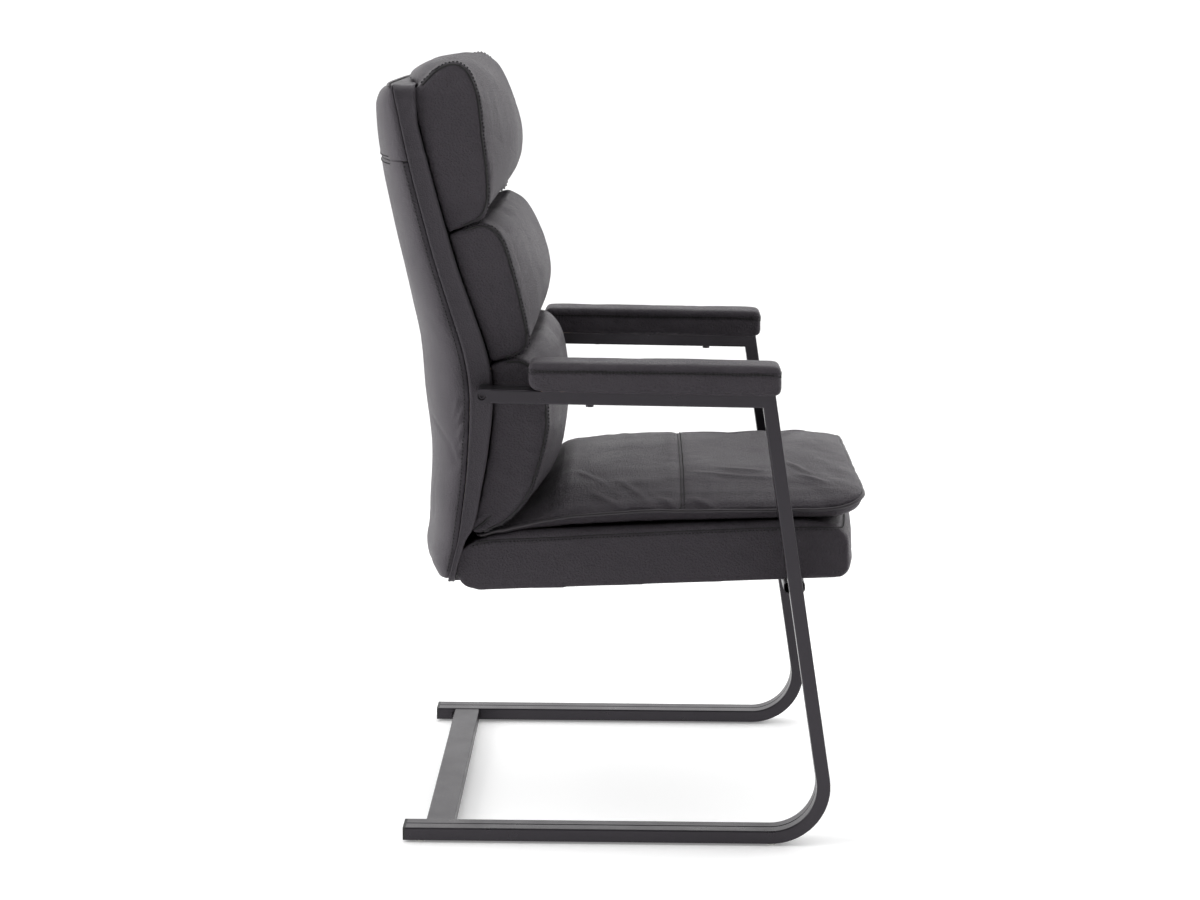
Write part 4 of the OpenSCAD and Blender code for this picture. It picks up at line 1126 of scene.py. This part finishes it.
@dataclass(frozen=True)
class BackShell:
    """The back behind the rolls: a band round its edge, a curved rear cover and its yoke.

    Attributes:
        half: half its width.
        low: height of the band's lower end.
        high: height of the back's top.
        corner: radius of the band's corners.
        rear_low: height of the rear cover's lower end.
        yoke: height of the seam under the yoke.
        squareness: the power that squares the rear cover's section.
        cover: thickness of the leatherette.
        sag: how far the cover sags out at its lower end.
        sag_at: height of that sag.
        sag_size: its size.
        reach: how far the band reaches under the head roll.
        foot: how much wider the band is at its lower end.
        hem: how far it laps behind the rear cover there.
        behind: depth of a line just behind the cover.
    """

    half: float = 0.25
    low: float = 0.3665
    high: float = 1.05
    corner: float = 0.012
    rear_low: float = 0.372
    yoke: float = 0.95
    squareness: float = 2.4
    cover: float = 0.002
    sag: float = 0.013
    sag_at: float = 0.385
    sag_size: float = 0.03
    reach: float = 0.009
    foot: float = 0.004
    hem: float = 0.0025
    behind: float = 0.36

    def seam(self, z: np.ndarray) -> np.ndarray:
        """Give the depth of the seam between band and rear cover at each height."""
        return flow(millimetres(SEAM_LINE), z)

    def band(self, z: np.ndarray) -> np.ndarray:
        """Give the depth of the band's front edge at each height, reaching under the head roll on top."""
        return band_front(z) - self.reach * ramp(z, 1.0, 0.045) - self.foot * ramp(z, 0.44, -0.03)

    def half_at(self, z: float) -> float:
        """Give the rear cover's half width at one height, less round the top corners."""
        fall = max(0.0, self.corner - (self.high + 0.001 - z))
        return self.half - self.corner + math.sqrt(self.corner ** 2 - fall ** 2)

    def section(self, count: int) -> tuple[np.ndarray, np.ndarray]:
        """Give the squared arc of the rear cover's section: its points' shares of half width and bulge."""
        turns = np.linspace(-math.pi / 2, math.pi / 2, count)
        power = 2 / self.squareness
        return np.sign(turns) * np.abs(np.sin(turns)) ** power, np.maximum(np.cos(turns), 0) ** power

    def rear_sheet(self, name: str, heights: np.ndarray, depths: np.ndarray,
                   columns: int = 150) -> bpy.types.Object:
        """Loft one part of the rear cover as a sheet, without its thickness yet.

        Args:
            name: the new piece's name.
            heights: the height of each row, from the bottom.
            depths: how far each row bulges behind the seam.
            columns: faces from side to side.

        Returns:
            The sheet, with its normals outwards.
        """
        xs, ys = self.section(columns + 1)
        rows = [np.column_stack([xs * self.half_at(z), self.seam(np.array([z])) + 0.0003 + ys * d,
                                 np.full(columns + 1, z)]) for z, d in zip(heights, depths)]
        wide = columns + 1
        faces = [(r * wide + c, r * wide + c + 1, (r + 1) * wide + c + 1, (r + 1) * wide + c)[::-1]
                 for r in range(len(rows) - 1) for c in range(columns)]
        return new_piece(name, np.concatenate(rows), faces)

    def build_rear(self, finishes: Finishes) -> None:
        """Build the rear cover below the yoke seam, the yoke above it and their stitches."""
        heights = np.linspace(self.rear_low, self.yoke - 0.0003, 170)
        sag = self.sag * np.exp(-((heights - self.sag_at) / self.sag_size) ** 2)
        depths = flow(millimetres(BULGE_LINE), heights) + sag
        lip = [(self.rear_low, depths[0] * share) for share in (0.05, 0.3, 0.6, 0.85)]
        cover = self.rear_sheet("back_rear_upholstery", np.concatenate([[z for z, _ in lip], heights]),
                                np.concatenate([[d for _, d in lip], depths]))
        tops = np.linspace(self.yoke, self.high, 40)
        swell = flow(millimetres(BULGE_LINE), tops)
        top_rows = [(self.high + 0.001, swell[-1] * share) for share in (0.8, 0.5, 0.25, 0.04)]
        yoke = self.rear_sheet("back_yoke_upholstery", np.concatenate([tops, [z for z, _ in top_rows]]),
                               np.concatenate([swell, [d for _, d in top_rows]]))
        level = np.linspace(0.38, self.yoke, 200)
        sides = [np.column_stack([np.full(200, side * self.half), self.seam(level) + 0.001, level])
                 for side in SIDES]
        across = [(x, self.behind, self.yoke) for x in np.linspace(0.001 - self.half, self.half - 0.001, 200)]
        yoke_seam = lay_on(np.array(across), cover, smooth=0)
        for piece, seed, lines in ((cover, 6.6, sides), (yoke, 9.2, [])):
            side_seam = Seam(depth=0.0009, width=0.005, gather=0.0021, reach=0.03, pitch=0.03, seed=seed)
            for line in lines:
                side_seam.press(piece, line)
            Seam(depth=0.0016, gather=0.001, reach=0.02, pitch=0.024, seed=seed).press(piece, yoke_seam)
            Creases(fold=0.0009, size=(0.12, 0.12, 0.07), swell=0.0018, swell_size=0.12, seed=seed).press(
                piece, lambda points: 0.35 + 0.65 * (points[:, 2] < 0.62))
        for side in SIDES:
            for start, end, height in REAR_FOLDS:
                line = np.array([(side * self.half * 1.04, *place) for place in millimetres((start, end))])
                fold_cover(cover, *lay_on(line, cover, smooth=0), height * 0.0012)
        rows = [line + (-side * 0.0015, 0.0065, 0) for side, line in zip(SIDES, sides)]
        # A dark cord paints the shade in the yoke seam's slit
        slit_shade_line("back_yoke_seam", yoke_seam, cover, finishes.thread)
        stitched = Stitches()
        stitched.sew("back_rear_stitching", rows + [yoke_seam - (0, 0, 0.005)], cover, finishes.thread)
        stitched.sew("back_yoke_stitching", [yoke_seam + (0, 0, 0.005)], yoke, finishes.thread)
        xs, ys = self.section(180)
        lid = np.column_stack([xs * (self.half - 0.004), self.seam(self.high) + 0.002 + swell[-1] * 1.1 * ys,
                               np.full(180, self.high + 0.0008)])
        hand_over(tube("back_yoke_welt", lid, 0.0016), finishes.piping)
        for piece in (cover, yoke):
            modify(piece, "SOLIDIFY", thickness=self.cover, offset=-1)
        hand_over(cover, finishes.smooth, ["back_rear_cover", "back_rear_foam"])
        hand_over(yoke, finishes.smooth, ["back_yoke_cover"])

    def build_band(self, finishes: Finishes) -> None:
        """Build the band: a loop round the back's outline, as wide as from the rolls to the seam."""
        middle = (self.low + self.high) / 2
        tall = (self.high - self.low) / 2
        turns = np.linspace(0, math.pi / 2, 7)
        quarter = [(self.half - self.corner + self.corner * math.cos(a),
                    tall - self.corner + self.corner * math.sin(a)) for a in turns]
        outline = []
        for sx, sz in ((1, 1), (-1, 1), (-1, -1), (1, -1)):
            arc = [(sx * x, middle + sz * z, 0.0) for x, z in quarter]
            outline += arc if sx * sz > 0 else arc[::-1]
        loop = resample(np.array(outline + outline[:1]), 0.005)[:-1]
        across = np.linspace(0, 1, 9)
        rows = []
        for share in across:
            z = loop[:, 1]
            rear = self.seam(z) + self.hem * ramp(z, 0.43, -0.03)
            y = self.band(z) + (rear - self.band(z)) * share
            rows.append(np.column_stack([loop[:, 0], y, z]))
        count = len(loop)
        ring = [(c, (c + 1) % count, (c + 1) % count + count, c + count) for c in range(count)]
        faces = [tuple(corner + r * count for corner in face) for r in range(len(rows) - 1) for face in ring]
        piece = new_piece("back_band_upholstery", np.concatenate(rows), faces)
        share = np.repeat(across, count)
        puff = np.sqrt(share * (1 - share)) * 0.002 - 0.0006
        write_points(piece, read_points(piece) + read_normals(piece) * puff[:, None])
        Creases(fold=0.0007, size=(0.04, 0.03, 0.05), swell=0.0012, swell_size=0.05, seed=4.4).press(
            piece, lambda at: 0.25 + 0.75 * (at[:, 2] > 0.96))
        for side in SIDES:
            start, end = (np.array((side * self.half, *place)) for place in millimetres(BAND_TUCK))
            fold_cover(piece, start, end, -0.0016, 0.0025)
        modify(piece, "SOLIDIFY", thickness=0.0022, offset=-1)
        hand_over(piece, finishes.smooth, ["back_side_band"])


@dataclass(frozen=True)
class ArmPad:
    """One armrest pad: a padded bar with one stitched seam round its upper edge.

    Attributes:
        side: -1 for the sitter's right, 1 for the left.
        middle: how far its middle stands from the chair's.
        half: half its width.
        front: depth of its front end.
        rear: depth of its rear end.
        bevel: how far its corners are cut.
        seam_z: height of the seam.
        tilt: rise of the seam towards the rear.
        level_at: depth where the seam has that height.
        stitch_gap: how far the stitches stand from the seam.
    """

    side: int
    middle: float = 0.276
    half: float = 0.030
    front: float = -0.2185
    rear: float = 0.1235
    bevel: float = 0.006
    seam_z: float = 0.6705
    tilt: float = 0.0105
    level_at: float = -0.19
    stitch_gap: float = 0.0027

    def build(self, finishes: Finishes) -> bpy.types.Object:
        """Build the pad, its seam and its double row of stitches."""
        pad = f"{side_word(self.side)}_arm_pad"
        piece = soft_copy(pad, pad + "_cover", hollow=True)
        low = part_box(pad)[0].z
        stuffing = Stuffing(voxel=0.004, inset=0.0008, cap=0.0012, slack=0.006, quick_voxel=0.005, rounds=0,
                            regain=3)
        stuffing.stuff(piece, lambda points: points[:, 2] < low + 0.006)
        loop = self.loop()
        Seam(depth=0.0009, width=0.0022, gather=0.0005, reach=0.012, pitch=0.012, seed=self.side * 2.5).press(
            piece, lay_on(loop, piece, smooth=3))
        Creases(fold=0.0004, size=(0.05, 0.07, 0.05), swell=0.0009, swell_size=0.06,
                seed=7 + self.side).press(piece)
        keep_outside(piece, pad + "_board", 0.0014)
        # A dark cord paints the shade in the seam's slit
        slit_shade_line(pad + "_seam", loop, piece, finishes.thread)
        rows = [loop + (0, 0, self.stitch_gap), loop - (0, 0, self.stitch_gap)]
        Stitches(pitch=0.0050, length=0.0035).sew(pad + "_stitching", rows, piece, finishes.thread)
        return hand_over(piece, finishes.pebbled, [pad, pad + "_foam"])

    def loop(self) -> np.ndarray:
        """Give the seam's line round the pad, with its corners cut."""
        corners = []
        for sx, y, sy in ((-1, self.front, -1), (1, self.front, -1), (1, self.rear, 1), (-1, self.rear, 1)):
            bends = [0.0, 0.5, 1.0] if sx * sy > 0 else [1.0, 0.5, 0.0]
            corners += [(sx * (self.half - self.bevel * (1 - bend)), y - sy * self.bevel * bend, 0)
                        for bend in bends]
        loop = np.array(corners + corners[:1]) + (self.side * self.middle, 0, 0)
        loop[:, 2] = self.seam_z + (loop[:, 1] - self.level_at) * self.tilt
        return resample(loop, PATH_STEP)


@dataclass(frozen=True)
class PackedParts:
    """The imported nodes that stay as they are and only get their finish."""

    def dress(self, finishes: Finishes) -> None:
        """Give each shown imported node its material."""
        by_slot = {Slot.FRAME: finishes.coat, Slot.HARDWARE: finishes.zinc, Slot.PLASTIC: finishes.plastic,
                   Slot.GLIDE: finishes.glide, Slot.BOARD: finishes.plywood, Slot.FOAM: finishes.foam,
                   Slot.LINING: finishes.lining, Slot.COVER: finishes.smooth, Slot.CUSHION: finishes.pebbled}
        slots = {part["node"]: Slot(part["material_slot"]) for part in frame["record"]["subparts"]}
        for name, node in frame["nodes"].items():
            node.data.materials.clear()
            node.data.materials.append(finishes.coat if name == "rail_bolts" else by_slot[slots[name]])
            LOG.info("%s: packed, %s", name, slots[name].value)


@dataclass(frozen=True)
class Studio:
    """The pale floor, the soft lights and the camera that the photograph was taken with.

    Attributes:
        focal: the camera's lens, in millimetres.
        place: where the camera stands.
        down: its tilt downwards.
        yaw: its turn to the sitter's rear.
        roll: its roll.
        dim: strength of the surroundings behind the camera.
        bright: their strength behind the chair and above.
        boxes: the softboxes, as name, place, aim, size and power.
    """

    focal: float = 68.977
    place: tuple = (-3.35506, -0.02609, 1.17091)
    down: float = 0.19545
    yaw: float = 0.01654
    roll: float = 0.00466
    dim: float = 0.155
    bright: float = 1.35
    boxes: tuple = (("top_box", (0.2, 0.0, 3.2), (0, 0, 0.4), 2.6, 16.0),
                    ("front_box", (0.3, -3.0, 1.7), (0, 0, 0.7), 1.8, 38.0),
                    ("rear_box", (-0.6, 3.0, 1.3), (0, 0, 0.6), 1.8, 66.0))

    def build(self) -> None:
        """Build the floor, the light and the camera."""
        self.build_floor()
        self.build_lights()
        self.build_camera()

    def build_floor(self) -> None:
        """Lay the pale studio floor."""
        deselect()
        bpy.ops.mesh.primitive_plane_add(size=400)
        floor = bpy.context.active_object
        floor.name = "studio_floor"
        graph = Graph("studio_floor_paint")
        graph.tint(graph.noise(3.0, 2.0), (0.93, 0.93, 0.93), (0.95, 0.95, 0.95))
        graph.feed(graph.surface, {"Roughness": 0.75, "Specular IOR Level": 0.15,
                                   "Emission Color": (1, 1, 1, 1), "Emission Strength": 0.22})
        floor.data.materials.append(graph.material)

    def build_lights(self) -> None:
        """Light the scene: white surroundings, darker behind the camera, and three softboxes."""
        world = bpy.data.worlds.new("studio_world")
        bpy.context.scene.world = world
        world.use_nodes = True
        tree = world.node_tree
        tree.nodes.clear()
        way = tree.nodes.new("ShaderNodeTexCoord").outputs["Generated"]
        split = tree.nodes.new("ShaderNodeSeparateXYZ")
        tree.links.new(way, split.inputs[0])
        lift = tree.nodes.new("ShaderNodeMath")
        lift.operation = "MULTIPLY_ADD"
        lift.inputs[1].default_value = 0.9
        tree.links.new(split.outputs[2], lift.inputs[0])
        tree.links.new(split.outputs[0], lift.inputs[2])
        turn = tree.nodes.new("ShaderNodeMapRange")
        tree.links.new(lift.outputs[0], turn.inputs["Value"])
        limits = {"From Min": 0.1, "From Max": 0.9, "To Min": self.dim, "To Max": self.bright}
        for key, value in limits.items():
            turn.inputs[key].default_value = value
        light = tree.nodes.new("ShaderNodeBackground")
        light.inputs["Color"].default_value = (1, 1, 1, 1)
        tree.links.new(turn.outputs[0], light.inputs["Strength"])
        out = tree.nodes.new("ShaderNodeOutputWorld")
        tree.links.new(light.outputs[0], out.inputs["Surface"])
        for name, place, aim, size, watts in self.boxes:
            lamp = bpy.data.lights.new(name, "AREA")
            lamp.shape = "SQUARE"
            lamp.size = size
            lamp.energy = watts
            holder = bpy.data.objects.new(name, lamp)
            holder.location = place
            holder.rotation_euler = (Vector(aim) - Vector(place)).to_track_quat("-Z", "Y").to_euler()
            bpy.context.scene.collection.objects.link(holder)

    def build_camera(self) -> None:
        """Set the camera where the photograph's perspective puts it."""
        level = Vector((math.cos(self.yaw), math.sin(self.yaw), 0))
        right = Vector((math.sin(self.yaw), -math.cos(self.yaw), 0))
        upright = Vector((0, 0, 1))
        ahead = level * math.cos(self.down) - upright * math.sin(self.down)
        over = upright * math.cos(self.down) + level * math.sin(self.down)
        x_axis = right * math.cos(self.roll) + over * math.sin(self.roll)
        y_axis = over * math.cos(self.roll) - right * math.sin(self.roll)
        lens = bpy.data.cameras.new("photograph_camera")
        lens.lens = self.focal
        lens.sensor_width = 36
        lens.clip_end = 1000
        camera = bpy.data.objects.new("photograph_camera", lens)
        turn = Matrix((x_axis, y_axis, -ahead)).transposed().to_4x4()
        camera.matrix_world = Matrix.Translation(self.place) @ turn
        bpy.context.scene.collection.objects.link(camera)
        bpy.context.scene.camera = camera
        bpy.context.scene.view_settings.view_transform = "Standard"


def main() -> None:
    """Build the studio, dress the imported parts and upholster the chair."""
    logging.basicConfig(level=logging.INFO, format="%(name)s: %(message)s")
    noise.seed_set(NOISE_SEED)
    finishes = Finishes.make()
    Studio().build()
    PackedParts().dress(finishes)
    SeatBase().build(finishes)
    SeatCushion().build(finishes)
    shell = BackShell()
    shell.build_rear(finishes)
    shell.build_band(finishes)
    for roll in (BackRoll("lower_roll", 1.1, 0.75, ROLL_FOLDS, foot=0.010),
                 BackRoll("middle_roll", 4.9, 0.75), BackRoll("head_roll", 8.3, 0.7)):
        roll.build(finishes)
    for side in SIDES:
        ArmPad(side).build(finishes)


if __name__ == "__main__":
    main()
